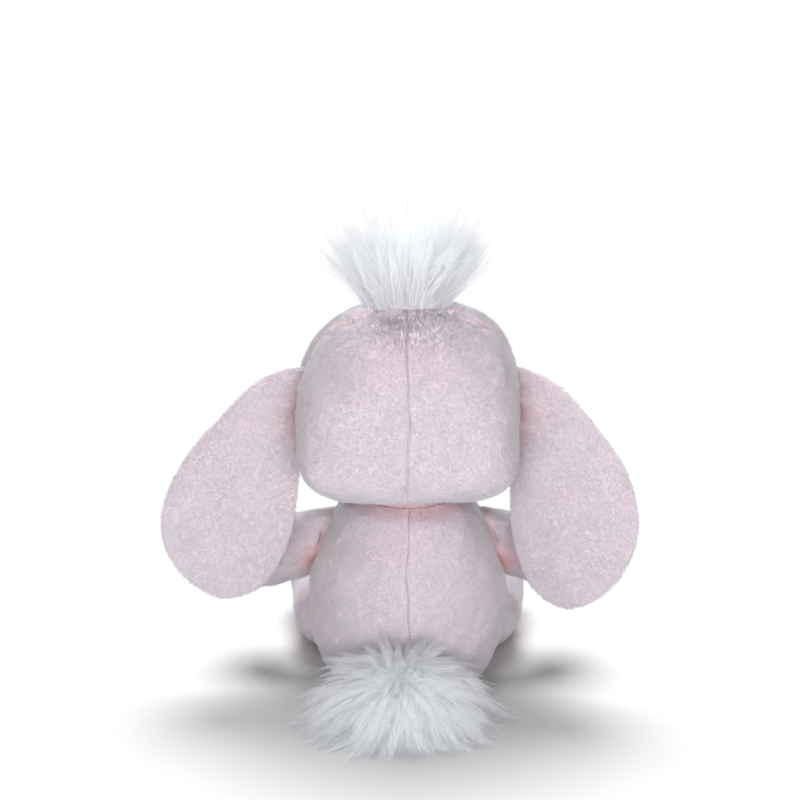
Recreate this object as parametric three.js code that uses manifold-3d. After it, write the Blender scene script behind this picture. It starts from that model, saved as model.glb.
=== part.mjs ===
// Seated lop-eared plush rabbit: sewn plush covers over fibre stuffing, with a pellet pouch in the seat.
// Millimetres, +Z up. The rabbit faces -Y, its left side is +X, and the seat's underside is at z = 0.
import * as THREE from 'three';
import { mergeVertices } from 'three/addons/utils/BufferGeometryUtils.js';
import Module from 'manifold-3d';

const wasm = await Module();
wasm.setup();

// ---------------------------------------------------------------- driving sizes

const PLUSH = 2.4; // one layer of plush, backing and pile together
const GAP = 0.3; // between pieces that are sewn or laid against each other
const RUN = 0.5; // between a piece that moves and what it moves past

const BODY_WIDTH = 84;
const BODY_DEPTH = 76;
const BODY_HEIGHT = 79.5;
const SEAT_RADIUS = 27; // flat underside that the toy sits on
const SIDE_SEAM_Y = 1; // the side seams, where back panels meet the belly
// The side of the body above the seat: share of the height, share of the half width.
const BODY_PROFILE = [
  [0.035, 0.735], [0.155, 0.885], [0.3, 0.985], [0.45, 1], [0.62, 0.955], [0.77, 0.855], [0.885, 0.745],
  [0.955, 0.6], [0.99, 0.38],
];
const PELLET_POUCH_RADIUS = 25;
const PELLET_POUCH_HEIGHT = 13;
const PELLET_POUCH_FOOT = 0.82; // share of its radius that lies flat

const HEAD_WIDTH = 91;
const HEAD_DEPTH = 84;
const HEAD_HEIGHT = 82;
const HEAD_CLEARANCE = 3; // between the top of the body and the underside of the head
const HEAD_SQUARENESS_TOP = 2.7; // exponent of the rounded-box form: 2 is an ellipsoid
const HEAD_SQUARENESS_LOW = 3.5;
const HEAD_SEAM_Y = -0.5; // the ear-to-ear seam, at the height of the head's centre
const HEAD_SEAM_LEAN = 12; // degrees: it runs forward as it goes up
const CHEEK_SEAM_DROP = 9; // below the head's centre, at the front
const CHEEK_SEAM_SLOPE = -7; // degrees: it drops towards the back
const NECK_RADIUS = 17;
const NECK_CLEARANCE = 1.6; // round the ball of neck stuffing, so that it turns in its socket

const EYE_RADIUS = 4.6;
const EYE_HEIGHT = 3.4;
const EYE_STEM_RADIUS = 1.5;
const EYE_STEM_LENGTH = 9;
const EYE_SPREAD = 27; // degrees from the middle of the face
const EYE_RISE = 4; // degrees above the head's centre
const WASHER_RADIUS = 6;
const WASHER_THICKNESS = 1.2;
const EYE_LIFT = 0.7; // of the eye's flat back off the middle of its place on the rounded face
const NOSE_WIDTH = 12;
const NOSE_HEIGHT = 8.5;
const NOSE_BULGE = 3.2;
const NOSE_DROP = 9; // degrees below the head's centre

const TUFT_HEIGHT = 42;
const TUFT_BASE_WIDTH = 36;
const TUFT_TOP_WIDTH = 74;
const TUFT_FLATNESS = 0.62; // front-to-back size over width
const TUFT_Y = -10;
const TUFT_SINK = 8; // how far the fur's form starts below the crown, before the head is cut away from it
const BACKING = 1.2; // knitted backing of the long fur

const EAR_ROOT = 33; // length of the sewn root
const EAR_LENGTH = 104; // top of the root to the tip
const EAR_REACH = 60; // from the root out to the widest part of the outer edge
const EAR_TIP_REACH = 36; // from the root out to the lowest point
const EAR_TUCK = 4; // how far the cut starts inside the head's surface, before it is cleared
const EAR_ROOT_RISE = 2; // middle of the root above the head's centre
const EAR_Y = 3.5; // middle of the ear's two layers, at the root
const EAR_LEAN = 5; // degrees: the tip hangs a little behind the root

const ARM_ROOT_RADIUS = 12.5;
const PAW_RADIUS = 14.5;
const ARM_LENGTH = 40; // shoulder to the middle of the paw
const ARM_DROP = 20; // degrees below the horizontal
const ARM_FORWARD = 22; // degrees forward of straight sideways
const SHOULDER_DROP = 19; // below the top of the body
const SHOULDER_X = 29;
const SHOULDER_Y = -9;

const LEG_RADIUS = 16.5;
const LEG_LENGTH = 38; // hip to ankle
const LEG_SPLAY = 4; // degrees outwards
const LEG_PRESS = 0.6; // how far the underside is flattened by its weight
const HIP_X = 33;
const HIP_Y = -30;
const FOOT_HEIGHT = 43;
const FOOT_DEPTH = 27;
const SOLE_DEPTH = 5; // how much of the foot's front the sole takes

const TAIL_CORE_RADIUS = 11;
const TAIL_ROOT_GAP = 0.2; // from the back of the body to the joint of the tail
const TAIL_X = 3;
const TAIL_RISE = 2; // of the core's underside above the floor
const TAIL_FUR_WIDTH = 100;
const TAIL_FUR_LENGTH = 46;
const TAIL_FUR_HEIGHT = 37;
const TAIL_FUR_MIDDLE = 0.38; // share of its height at which it is widest, as it sags on the floor
const TAIL_FUR_CLEARANCE = 2.4; // from the widest part of the body to the fur

// Travel of each joint, in degrees from the seated rest pose.
const NECK_NOD = [-6, 8];
const ARM_RAISE = [-15, 25];
const HIP_LIFT = [0, 30];
const EAR_SWING_LEFT = [0, 75];
const EAR_SWING_RIGHT = [-14, 60];
const TAIL_WAG = [-12, 12];
const EAR_REST_SWING = { left: 3, right: 18 }; // degrees that each ear already hangs back
const EAR_TILT = { left: 0, right: 4 }; // degrees that the tip hangs in towards the body

// ---------------------------------------------------------------- worked-out places

const NECK_Z = BODY_HEIGHT + HEAD_CLEARANCE / 2;
const HEAD_Z = BODY_HEIGHT + HEAD_CLEARANCE + HEAD_HEIGHT / 2;
const SHOULDER_Z = BODY_HEIGHT - SHOULDER_DROP;
const HIP_Z = LEG_RADIUS - LEG_PRESS;
const EAR_X = HEAD_WIDTH / 2;
const EAR_Z = HEAD_Z + EAR_ROOT_RISE;
const TAIL_Z = TAIL_CORE_RADIUS + TAIL_RISE;
const FAR = 400; // larger than the toy, for cutting blocks

// How finely the forms are faceted: steps round the big forms, the limbs and the small turned pieces.
const BIG_STEPS = 24;
const LIMB_STEPS = 12;
const SMALL_STEPS = 12;
const EYE_STEPS = 10;
const EAR_CURVE_STEPS = 7;
const FACET_SAG = HEAD_WIDTH * (1 - Math.cos(Math.PI / BIG_STEPS)); // how far facets fall inside the form

// ---------------------------------------------------------------- materials

const plush = (colour) => new THREE.MeshStandardMaterial({ color: colour, roughness: 0.95, metalness: 0 });
const PINK_PLUSH = plush(0xecd5de);
const WHITE_PLUSH = plush(0xf3f1f4);
const WHITE_FUR = plush(0xe9eef5);
const FIBRE = plush(0xf6f6f2);
const POUCH_CLOTH = plush(0xdcd8cf);
const NOSE_FELT = plush(0xd99aa6);
const EYE_PLASTIC = new THREE.MeshStandardMaterial({ color: 0x1b1413, roughness: 0.12, metalness: 0 });
const WASHER_PLASTIC = new THREE.MeshStandardMaterial({ color: 0xe8e8e4, roughness: 0.5, metalness: 0 });

// ---------------------------------------------------------------- solids

const rad = THREE.MathUtils.degToRad;
const AXIS_X = new THREE.Vector3(1, 0, 0);
const AXIS_Y = new THREE.Vector3(0, 1, 0);
const AXIS_Z = new THREE.Vector3(0, 0, 1);

function turnFrom(axis, direction) {
  return new THREE.Quaternion().setFromUnitVectors(axis, direction.clone().normalize());
}

function solidOf(geometry) {
  const bare = geometry.clone();
  bare.deleteAttribute('normal');
  bare.deleteAttribute('uv');
  const merged = mergeVertices(bare, 1e-4);
  const index = Array.from(merged.index.array);
  const triangles = [];
  for (let i = 0; i < index.length; i += 3) {
    const [a, b, c] = index.slice(i, i + 3);
    if (a !== b && b !== c && c !== a) triangles.push(a, b, c);
  }
  return new wasm.Manifold(new wasm.Mesh({
    numProp: 3,
    vertProperties: new Float32Array(merged.attributes.position.array),
    triVerts: new Uint32Array(triangles),
  }));
}

function block(low, high) {
  const geometry = new THREE.BoxGeometry(high[0] - low[0], high[1] - low[1], high[2] - low[2]);
  geometry.translate((low[0] + high[0]) / 2, (low[1] + high[1]) / 2, (low[2] + high[2]) / 2);
  return solidOf(geometry);
}

// A block that fills the side of a plane its normal points to.
function halfSpace(point, normal) {
  const geometry = new THREE.BoxGeometry(FAR, FAR, FAR);
  geometry.translate(0, 0, FAR / 2);
  geometry.applyQuaternion(turnFrom(AXIS_Z, normal));
  geometry.translate(point.x, point.y, point.z);
  return solidOf(geometry);
}

function ball(radius, centre, across = LIMB_STEPS) {
  const geometry = new THREE.SphereGeometry(radius, across, Math.round(across * 0.7));
  geometry.translate(centre.x, centre.y, centre.z);
  return solidOf(geometry);
}

// A turned form about the line that leaves point in the given direction. profile is [radius, distance along].
function turned(profile, point, direction, across = SMALL_STEPS) {
  const geometry = new THREE.LatheGeometry(profile.map(([r, d]) => new THREE.Vector2(r, d)), across);
  geometry.applyQuaternion(turnFrom(AXIS_Y, direction));
  geometry.translate(point.x, point.y, point.z);
  return solidOf(geometry);
}

function rod(radius, point, direction, length, across = SMALL_STEPS) {
  return turned([[0, 0], [radius, 0], [radius, length], [0, length]], point, direction, across);
}

// A round-ended limb that goes from one radius to another.
function taperedLimb(start, end, startRadius, endRadius) {
  const rings = LIMB_STEPS / 4;
  const along = end.clone().sub(start);
  const length = along.length();
  const profile = [[0, -startRadius]];
  for (let i = 1; i <= rings; i++) {
    const a = (i / rings) * Math.PI / 2;
    profile.push([startRadius * Math.sin(a), -startRadius * Math.cos(a)]);
  }
  for (let i = 0; i < rings; i++) {
    const a = (i / rings) * Math.PI / 2;
    profile.push([endRadius * Math.cos(a), length + endRadius * Math.sin(a)]);
  }
  profile.push([0, length + endRadius]);
  return turned(profile, start, along, LIMB_STEPS);
}

function turnAbout(solid, pivot, axis, degrees) {
  const turn = new THREE.Matrix4().makeRotationAxis(axis, rad(degrees));
  const move = new THREE.Matrix4().makeTranslation(pivot.x, pivot.y, pivot.z)
    .multiply(turn)
    .multiply(new THREE.Matrix4().makeTranslation(-pivot.x, -pivot.y, -pivot.z));
  return solid.transform(move.elements);
}

// What is left of a piece once it stays clear of an obstacle all through its travel.
function clearedThrough(solid, obstacle, pivot, axis, range, steps = 3) {
  let left = solid;
  for (let i = 0; i <= steps; i++) {
    const angle = range[0] + (range[1] - range[0]) * (i / steps);
    left = left.subtract(turnAbout(obstacle, pivot, axis, -angle));
  }
  return left;
}

// ---------------------------------------------------------------- forms of the stuffed shapes

// The side of the body: half width against height.
function bodySide() {
  const corners = BODY_PROFILE.map(([up, out]) => new THREE.Vector2(out * BODY_WIDTH / 2, up * BODY_HEIGHT));
  return new THREE.SplineCurve([new THREE.Vector2(SEAT_RADIUS, 0), ...corners]);
}

// How far the body's back is from its middle at a height.
function bodyBackAt(height) {
  const points = bodySide().getPoints(BIG_STEPS * BIG_STEPS);
  const widest = points.find((p) => p.y >= height);
  return widest.x * BODY_DEPTH / BODY_WIDTH;
}

// The body: a pear that is flat where it sits. inset makes it smaller all round.
function bodyForm(inset) {
  const half = BODY_WIDTH / 2;
  const side = bodySide();
  const scale = (BODY_HEIGHT - 2 * inset) / BODY_HEIGHT;
  const drawnIn = (p) => new THREE.Vector2(Math.max(p.x - inset, 1), inset + p.y * scale);
  const points = side.getPoints(BIG_STEPS / 2).map(drawnIn);
  points.unshift(new THREE.Vector2(0, points[0].y));
  points.push(new THREE.Vector2(0, inset + BODY_HEIGHT * scale));
  const geometry = new THREE.LatheGeometry(points, BIG_STEPS);
  geometry.rotateX(Math.PI / 2);
  geometry.scale(1, (BODY_DEPTH / 2 - inset) / (half - inset), 1);
  return solidOf(geometry);
}

// Distance from the head's centre to its surface, in a unit direction.
function headReach(direction, inset) {
  const low = THREE.MathUtils.smoothstep(-direction.z, -0.5, 0.5);
  const n = THREE.MathUtils.lerp(HEAD_SQUARENESS_TOP, HEAD_SQUARENESS_LOW, low);
  const sum = Math.abs(direction.x / (HEAD_WIDTH / 2 - inset)) ** n
    + Math.abs(direction.y / (HEAD_DEPTH / 2 - inset)) ** n
    + Math.abs(direction.z / (HEAD_HEIGHT / 2 - inset)) ** n;
  return sum ** (-1 / n);
}

function headForm(inset) {
  const geometry = new THREE.SphereGeometry(1, BIG_STEPS, BIG_STEPS / 2 + 4);
  geometry.rotateX(Math.PI / 2);
  const at = geometry.attributes.position;
  const direction = new THREE.Vector3();
  for (let i = 0; i < at.count; i++) {
    direction.fromBufferAttribute(at, i).normalize();
    direction.multiplyScalar(headReach(direction, inset));
    at.setXYZ(i, direction.x, direction.y, direction.z + HEAD_Z);
  }
  return solidOf(geometry);
}

// A point on the face and the way it faces. side is degrees to the rabbit's left, up is degrees above
// the middle.
function facePlace(side, up) {
  const surface = (s, u) => {
    const level = Math.cos(rad(u));
    const ahead = -Math.cos(rad(s)) * level;
    const direction = new THREE.Vector3(Math.sin(rad(s)) * level, ahead, Math.sin(rad(u)));
    return direction.multiplyScalar(headReach(direction, 0)).add(new THREE.Vector3(0, 0, HEAD_Z));
  };
  const across = surface(side + 1, up).sub(surface(side - 1, up));
  const upward = surface(side, up + 1).sub(surface(side, up - 1));
  return { point: surface(side, up), normal: across.cross(upward).normalize() };
}

// ---------------------------------------------------------------- the scene graph

const rabbit = new THREE.Group();

function groupAt(parent, x, y, z) {
  const group = new THREE.Group();
  group.position.set(x, y, z);
  parent.add(group);
  group.updateWorldMatrix(true, false);
  return group;
}

function addPiece(group, name, solid, material) {
  const { vertProperties, triVerts } = solid.getMesh();
  const geometry = new THREE.BufferGeometry();
  geometry.setAttribute('position', new THREE.BufferAttribute(new Float32Array(vertProperties), 3));
  geometry.setIndex(new THREE.BufferAttribute(new Uint32Array(triVerts), 1));
  geometry.applyMatrix4(group.matrixWorld.clone().invert());
  const mesh = new THREE.Mesh(geometry, material);
  mesh.name = name;
  group.add(mesh);
}

const NECK = new THREE.Vector3(0, 0, NECK_Z);
const SIDES = [['left', 1], ['right', -1]];
const LEFT_HALF = block([GAP / 2, -FAR, -FAR], [FAR, FAR, FAR]);
const RIGHT_HALF = block([-FAR, -FAR, -FAR], [-GAP / 2, FAR, FAR]);

const bodyOuter = bodyForm(0);
const bodyClear = bodyForm(-RUN);
const headOuter = headForm(0);
const headClear = headForm(-RUN);
const neckSocket = ball(NECK_RADIUS + NECK_CLEARANCE, NECK);

// ---------------------------------------------------------------- torso

function addTorso() {
  const torso = groupAt(rabbit, 0, 0, 0);
  const seatTop = PLUSH + GAP;
  const shell = bodyOuter.subtract(bodyForm(PLUSH)).subtract(neckSocket)
    .intersect(block([-FAR, -FAR, seatTop], [FAR, FAR, FAR]));
  const back = shell.intersect(block([-FAR, SIDE_SEAM_Y + GAP / 2, -FAR], [FAR, FAR, FAR]));
  addPiece(torso, 'body_back_left', back.intersect(LEFT_HALF), PINK_PLUSH);
  addPiece(torso, 'body_back_right', back.intersect(RIGHT_HALF), PINK_PLUSH);
  const front = shell.intersect(block([-FAR, -FAR, -FAR], [FAR, SIDE_SEAM_Y - GAP / 2, FAR]));
  addPiece(torso, 'belly_panel', front, WHITE_PLUSH);
  const seat = bodyOuter.intersect(block([-FAR, -FAR, -FAR], [FAR, FAR, PLUSH]));
  addPiece(torso, 'seat_panel', seat, WHITE_PLUSH);

  const inside = bodyForm(PLUSH + GAP).subtract(neckSocket);
  const pouchZ = PLUSH + 2 * GAP;
  const pouchAt = new THREE.Vector3(0, 0, pouchZ);
  const edge = PELLET_POUCH_RADIUS;
  const tall = PELLET_POUCH_HEIGHT;
  const foot = edge * PELLET_POUCH_FOOT;
  const pouchProfile = (grow) => [
    [0, -grow], [foot + grow, -grow], [edge + grow, tall * 0.4], [edge * 0.7 + grow, tall * 0.86 + grow],
    [0, tall + grow],
  ];
  addPiece(torso, 'pellet_pouch', turned(pouchProfile(0), pouchAt, AXIS_Z), POUCH_CLOTH);
  const hollow = turned(pouchProfile(GAP), pouchAt, AXIS_Z)
    .add(rod(foot, new THREE.Vector3(0, 0, 0), AXIS_Z, pouchZ + GAP));
  addPiece(torso, 'torso_stuffing', inside.subtract(hollow), FIBRE);
}

function addNeck() {
  const neck = groupAt(rabbit, 0, 0, NECK_Z);
  addPiece(neck, 'neck_stuffing', ball(NECK_RADIUS, NECK), FIBRE);
  return neck;
}

// ---------------------------------------------------------------- head

const seamNormal = new THREE.Vector3(0, Math.cos(rad(HEAD_SEAM_LEAN)), Math.sin(rad(HEAD_SEAM_LEAN)));
const seamPoint = new THREE.Vector3(0, HEAD_SEAM_Y, HEAD_Z);
const cheekNormal = new THREE.Vector3(0, -Math.sin(rad(CHEEK_SEAM_SLOPE)), Math.cos(rad(CHEEK_SEAM_SLOPE)));
const cheekPoint = new THREE.Vector3(0, -HEAD_DEPTH / 2, HEAD_Z - CHEEK_SEAM_DROP);
const pushed = (point, normal, distance) => point.clone().addScaledVector(normal, distance);

// How deep the inner side of the face's cloth lies below its place, over a disc of this radius.
function clothDepth({ point, normal }, radius) {
  const across = new THREE.Vector3().crossVectors(AXIS_Z, normal).normalize();
  const centre = new THREE.Vector3(0, 0, HEAD_Z);
  let depth = 0;
  for (let i = 0; i < EYE_STEPS; i++) {
    const rim = pushed(point, across.clone().applyAxisAngle(normal, (i / EYE_STEPS) * 2 * Math.PI), radius);
    const direction = rim.clone().sub(centre).normalize();
    const under = direction.multiplyScalar(headReach(direction, PLUSH)).add(centre);
    depth = Math.max(depth, rim.sub(under).dot(normal));
  }
  return depth + FACET_SAG;
}

// Where each eye sits, and how deep its washer lies inside the face.
function eyePlaces() {
  return SIDES.map(([side, s]) => {
    const place = facePlace(s * EYE_SPREAD, EYE_RISE);
    const washerDepth = clothDepth(place, WASHER_RADIUS) + 2 * GAP + WASHER_THICKNESS;
    return { side, ...place, washerDepth };
  });
}

function stemHole({ point, normal }) {
  const depth = EYE_STEM_LENGTH + GAP;
  return rod(EYE_STEM_RADIUS + GAP, pushed(point, normal, -depth), normal, 2 * depth, EYE_STEPS);
}

function addHeadPanels(head) {
  const stems = eyePlaces().map(stemHole);
  const shell = headOuter.subtract(headForm(PLUSH)).subtract(neckSocket);
  const back = shell.intersect(halfSpace(pushed(seamPoint, seamNormal, GAP / 2), seamNormal));
  addPiece(head, 'head_back_left', back.intersect(LEFT_HALF), PINK_PLUSH);
  addPiece(head, 'head_back_right', back.intersect(RIGHT_HALF), PINK_PLUSH);
  const away = seamNormal.clone().negate();
  const front = shell.intersect(halfSpace(pushed(seamPoint, away, GAP / 2), away));
  const upper = front.intersect(halfSpace(pushed(cheekPoint, cheekNormal, GAP / 2), cheekNormal));
  addPiece(head, 'forehead_panel', upper.subtract(stems[0]).subtract(stems[1]), PINK_PLUSH);
  const down = cheekNormal.clone().negate();
  const lower = front.intersect(halfSpace(pushed(cheekPoint, down, GAP / 2), down));
  addPiece(head, 'cheek_left', lower.intersect(LEFT_HALF), WHITE_PLUSH);
  addPiece(head, 'cheek_right', lower.intersect(RIGHT_HALF), WHITE_PLUSH);
}

function addHeadStuffing(head) {
  let stuffing = headForm(PLUSH + GAP).subtract(neckSocket);
  for (const eye of eyePlaces()) {
    const pocketAt = pushed(eye.point, eye.normal, -eye.washerDepth - GAP);
    const pocket = rod(WASHER_RADIUS + GAP, pocketAt, eye.normal, FAR);
    stuffing = stuffing.subtract(pocket).subtract(stemHole(eye));
  }
  addPiece(head, 'head_stuffing', stuffing, FIBRE);
}

function addEyes(head) {
  const eyeProfile = [
    [0, -EYE_STEM_LENGTH], [EYE_STEM_RADIUS, -EYE_STEM_LENGTH], [EYE_STEM_RADIUS, 0], [EYE_RADIUS, 0],
    [EYE_RADIUS * 0.94, EYE_HEIGHT * 0.45], [EYE_RADIUS * 0.62, EYE_HEIGHT * 0.85], [0, EYE_HEIGHT],
  ];
  const hole = EYE_STEM_RADIUS + GAP;
  const washerProfile = [
    [hole, 0], [WASHER_RADIUS, 0], [WASHER_RADIUS, WASHER_THICKNESS], [hole, WASHER_THICKNESS], [hole, 0],
  ];
  for (const eye of eyePlaces()) {
    const button = turned(eyeProfile, pushed(eye.point, eye.normal, EYE_LIFT), eye.normal, EYE_STEPS);
    addPiece(head, `eye_${eye.side}`, button, EYE_PLASTIC);
    const washerAt = pushed(eye.point, eye.normal, -eye.washerDepth);
    const washer = turned(washerProfile, washerAt, eye.normal, EYE_STEPS);
    addPiece(head, `eye_washer_${eye.side}`, washer, WASHER_PLASTIC);
  }
}

function addNose(head) {
  const place = facePlace(0, -NOSE_DROP);
  const geometry = new THREE.SphereGeometry(1, SMALL_STEPS, SMALL_STEPS / 2);
  geometry.scale(NOSE_WIDTH / 2, NOSE_BULGE, NOSE_HEIGHT / 2);
  geometry.translate(place.point.x, place.point.y, place.point.z);
  addPiece(head, 'nose', solidOf(geometry).subtract(headForm(-GAP)), NOSE_FELT);
}

// The form that the long fur of the tuft fills: a narrow foot that fans out to a soft top.
function tuftForm() {
  const low = HEAD_Z + HEAD_HEIGHT / 2 - TUFT_SINK;
  const tall = TUFT_SINK + TUFT_HEIGHT;
  const foot = TUFT_BASE_WIDTH / 2;
  const fan = TUFT_TOP_WIDTH / 2;
  const profile = [[0, 0], [foot, 0], [(foot + fan) * 0.55, 0.5], [fan, 0.72], [fan * 0.72, 0.94], [0, 1]];
  const points = profile.map(([radius, share]) => new THREE.Vector2(radius, low + share * tall));
  const geometry = new THREE.LatheGeometry(points, LIMB_STEPS);
  geometry.rotateX(Math.PI / 2);
  geometry.scale(1, TUFT_FLATNESS, 1);
  geometry.translate(0, TUFT_Y, 0);
  return solidOf(geometry);
}

function addTuft(head) {
  const patchRadius = TUFT_BASE_WIDTH / 2 - 1;
  const patch = new THREE.CylinderGeometry(patchRadius, patchRadius, HEAD_HEIGHT, SMALL_STEPS);
  patch.rotateX(Math.PI / 2);
  patch.scale(1, TUFT_FLATNESS, 1);
  patch.translate(0, TUFT_Y, HEAD_Z + HEAD_HEIGHT / 2);
  const backing = headForm(-GAP - BACKING).subtract(headForm(-GAP)).intersect(solidOf(patch));
  addPiece(head, 'tuft_backing', backing, WHITE_FUR);
  addPiece(head, 'hair_tuft', tuftForm().subtract(headForm(-2 * GAP - BACKING)), WHITE_FUR);
}

// ---------------------------------------------------------------- ears

// The ear as it was cut, hanging from its root at the origin: x runs outwards and y runs up. It starts a
// little inside the head, sweeps out to its reach, rounds off at the tip and comes back up near the head.
function earOutline() {
  const half = EAR_ROOT / 2;
  const tip = half - EAR_LENGTH;
  const inside = -EAR_TUCK;
  const shape = new THREE.Shape();
  const reach = EAR_REACH;
  shape.moveTo(inside, half);
  shape.bezierCurveTo(reach * 0.23, half * 0.88, reach * 0.7, -half * 0.3, reach * 0.93, tip * 0.42);
  shape.bezierCurveTo(reach * 1.08, tip * 0.68, reach * 0.94, tip, EAR_TIP_REACH, tip);
  shape.bezierCurveTo(EAR_TIP_REACH * 0.42, tip, reach * 0.05, tip * 0.78, reach * 0.035, tip * 0.45);
  shape.lineTo(0, -half);
  shape.lineTo(inside, -half);
  shape.closePath();
  return shape;
}

function addEar(head, side, s) {
  const swing = side === 'left' ? EAR_SWING_LEFT : EAR_SWING_RIGHT;
  const root = new THREE.Vector3(s * EAR_X, EAR_Y, EAR_Z);
  const ear = groupAt(head, root.x, root.y, root.z - HEAD_Z);
  const layer = (front) => {
    const cloth = { depth: PLUSH, bevelEnabled: false, curveSegments: EAR_CURVE_STEPS };
    const geometry = new THREE.ExtrudeGeometry(earOutline(), cloth);
    geometry.translate(0, 0, front);
    geometry.rotateX(Math.PI / 2); // the cut lies in X and Z, and front grows towards -Y
    geometry.rotateX(rad(EAR_LEAN));
    geometry.rotateY(rad(EAR_TILT[side]));
    geometry.rotateZ(rad(EAR_REST_SWING[side]));
    let solid = solidOf(geometry);
    if (s < 0) solid = solid.mirror([1, 0, 0]);
    solid = solid.translate([root.x, root.y, root.z]);
    return clearedThrough(solid, headClear, root, s > 0 ? AXIS_Z : AXIS_Z.clone().negate(), swing);
  };
  addPiece(ear, `ear_back_${side}`, layer(-PLUSH - GAP / 2), PINK_PLUSH);
  addPiece(ear, `ear_lining_${side}`, layer(GAP / 2), WHITE_PLUSH);
}

function addHead(neck) {
  const head = groupAt(neck, 0, 0, HEAD_Z - NECK_Z);
  addHeadPanels(head);
  addHeadStuffing(head);
  addEyes(head);
  addNose(head);
  addTuft(head);
  for (const [side, s] of SIDES) addEar(head, side, s);
}

// ---------------------------------------------------------------- arms

function addArm(side, s) {
  const shoulder = new THREE.Vector3(s * SHOULDER_X, SHOULDER_Y, SHOULDER_Z);
  const direction = new THREE.Vector3(
    s * Math.cos(rad(ARM_DROP)) * Math.cos(rad(ARM_FORWARD)),
    -Math.cos(rad(ARM_DROP)) * Math.sin(rad(ARM_FORWARD)),
    -Math.sin(rad(ARM_DROP)),
  );
  const paw = pushed(shoulder, direction, ARM_LENGTH);
  const form = (inset) => taperedLimb(shoulder, paw, ARM_ROOT_RADIUS - inset, PAW_RADIUS - inset);
  const arm = groupAt(rabbit, shoulder.x, shoulder.y, shoulder.z);
  const axis = new THREE.Vector3(0, -s, 0);
  const cleared = (solid) => clearedThrough(solid, bodyClear, shoulder, axis, ARM_RAISE);
  addPiece(arm, `arm_cover_${side}`, cleared(form(0).subtract(form(PLUSH))), PINK_PLUSH);
  addPiece(arm, `arm_stuffing_${side}`, cleared(form(PLUSH + GAP)), FIBRE);
}

// ---------------------------------------------------------------- legs

function addLeg(side, s) {
  const hip = new THREE.Vector3(s * HIP_X, HIP_Y, HIP_Z);
  const forward = new THREE.Vector3(s * Math.sin(rad(LEG_SPLAY)), -Math.cos(rad(LEG_SPLAY)), 0);
  const ankle = pushed(hip, forward, LEG_LENGTH);
  const foot = (inset) => {
    const geometry = new THREE.SphereGeometry(1, LIMB_STEPS, LIMB_STEPS / 2 + 2);
    geometry.scale(LEG_RADIUS - inset, FOOT_DEPTH / 2 - inset, FOOT_HEIGHT / 2 - inset);
    geometry.translate(ankle.x, ankle.y, FOOT_HEIGHT / 2 - LEG_PRESS);
    return solidOf(geometry);
  };
  const aboveFloor = (height) => block([-FAR, -FAR, height], [FAR, FAR, FAR]);
  const form = (inset) => taperedLimb(hip, ankle, LEG_RADIUS - inset, LEG_RADIUS - inset).add(foot(inset))
    .intersect(aboveFloor(inset + GAP));
  const leg = groupAt(rabbit, hip.x, hip.y, hip.z);
  const cleared = (solid) => clearedThrough(solid, bodyClear, hip, AXIS_X.clone().negate(), HIP_LIFT);
  const cover = cleared(form(0).subtract(form(PLUSH)));
  const soleY = ankle.y - FOOT_DEPTH / 2 + SOLE_DEPTH;
  const behindSole = block([-FAR, soleY + GAP / 2, -FAR], [FAR, FAR, FAR]);
  const sole = block([-FAR, -FAR, -FAR], [FAR, soleY - GAP / 2, FAR]);
  addPiece(leg, `leg_cover_${side}`, cover.intersect(behindSole), PINK_PLUSH);
  addPiece(leg, `foot_sole_${side}`, cover.intersect(sole), WHITE_PLUSH);
  addPiece(leg, `leg_stuffing_${side}`, cleared(form(PLUSH + GAP)), FIBRE);
}

// ---------------------------------------------------------------- tail

function addTail() {
  const rootY = bodyBackAt(TAIL_Z) + TAIL_ROOT_GAP;
  const root = new THREE.Vector3(TAIL_X, rootY, TAIL_Z);
  const core = new THREE.Vector3(TAIL_X, rootY + TAIL_CORE_RADIUS + 2 * RUN, TAIL_Z);
  const tail = groupAt(rabbit, root.x, root.y, root.z);
  const cleared = (solid) => clearedThrough(solid, bodyClear, root, AXIS_Z, TAIL_WAG);
  addPiece(tail, 'tail_core', cleared(ball(TAIL_CORE_RADIUS, core)), WHITE_PLUSH);
  const nearY = BODY_DEPTH / 2 + TAIL_FUR_CLEARANCE;
  const geometry = new THREE.SphereGeometry(1, LIMB_STEPS, LIMB_STEPS / 2 + 2);
  const middleZ = TAIL_FUR_HEIGHT * TAIL_FUR_MIDDLE;
  geometry.scale(TAIL_FUR_WIDTH / 2, TAIL_FUR_LENGTH, TAIL_FUR_HEIGHT - middleZ);
  geometry.translate(TAIL_X, nearY, middleZ);
  const fur = solidOf(geometry)
    .intersect(block([-FAR, nearY, GAP], [FAR, FAR, FAR]))
    .subtract(ball(TAIL_CORE_RADIUS + GAP, core));
  addPiece(tail, 'tail_fur', fur, WHITE_FUR);
}

addTorso();
addHead(addNeck());
for (const [side, s] of SIDES) {
  addArm(side, s);
  addLeg(side, s);
}
addTail();

export default rabbit;
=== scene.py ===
"""A seated plush rabbit: sewn pink and white plush over fibre stuffing, with long-fur tuft and tail.

Sizes are written in millimetres and turned into metres where a mesh is made. The rabbit faces -Y, its left
side is +X, and it sits on z = 0.
"""

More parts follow.
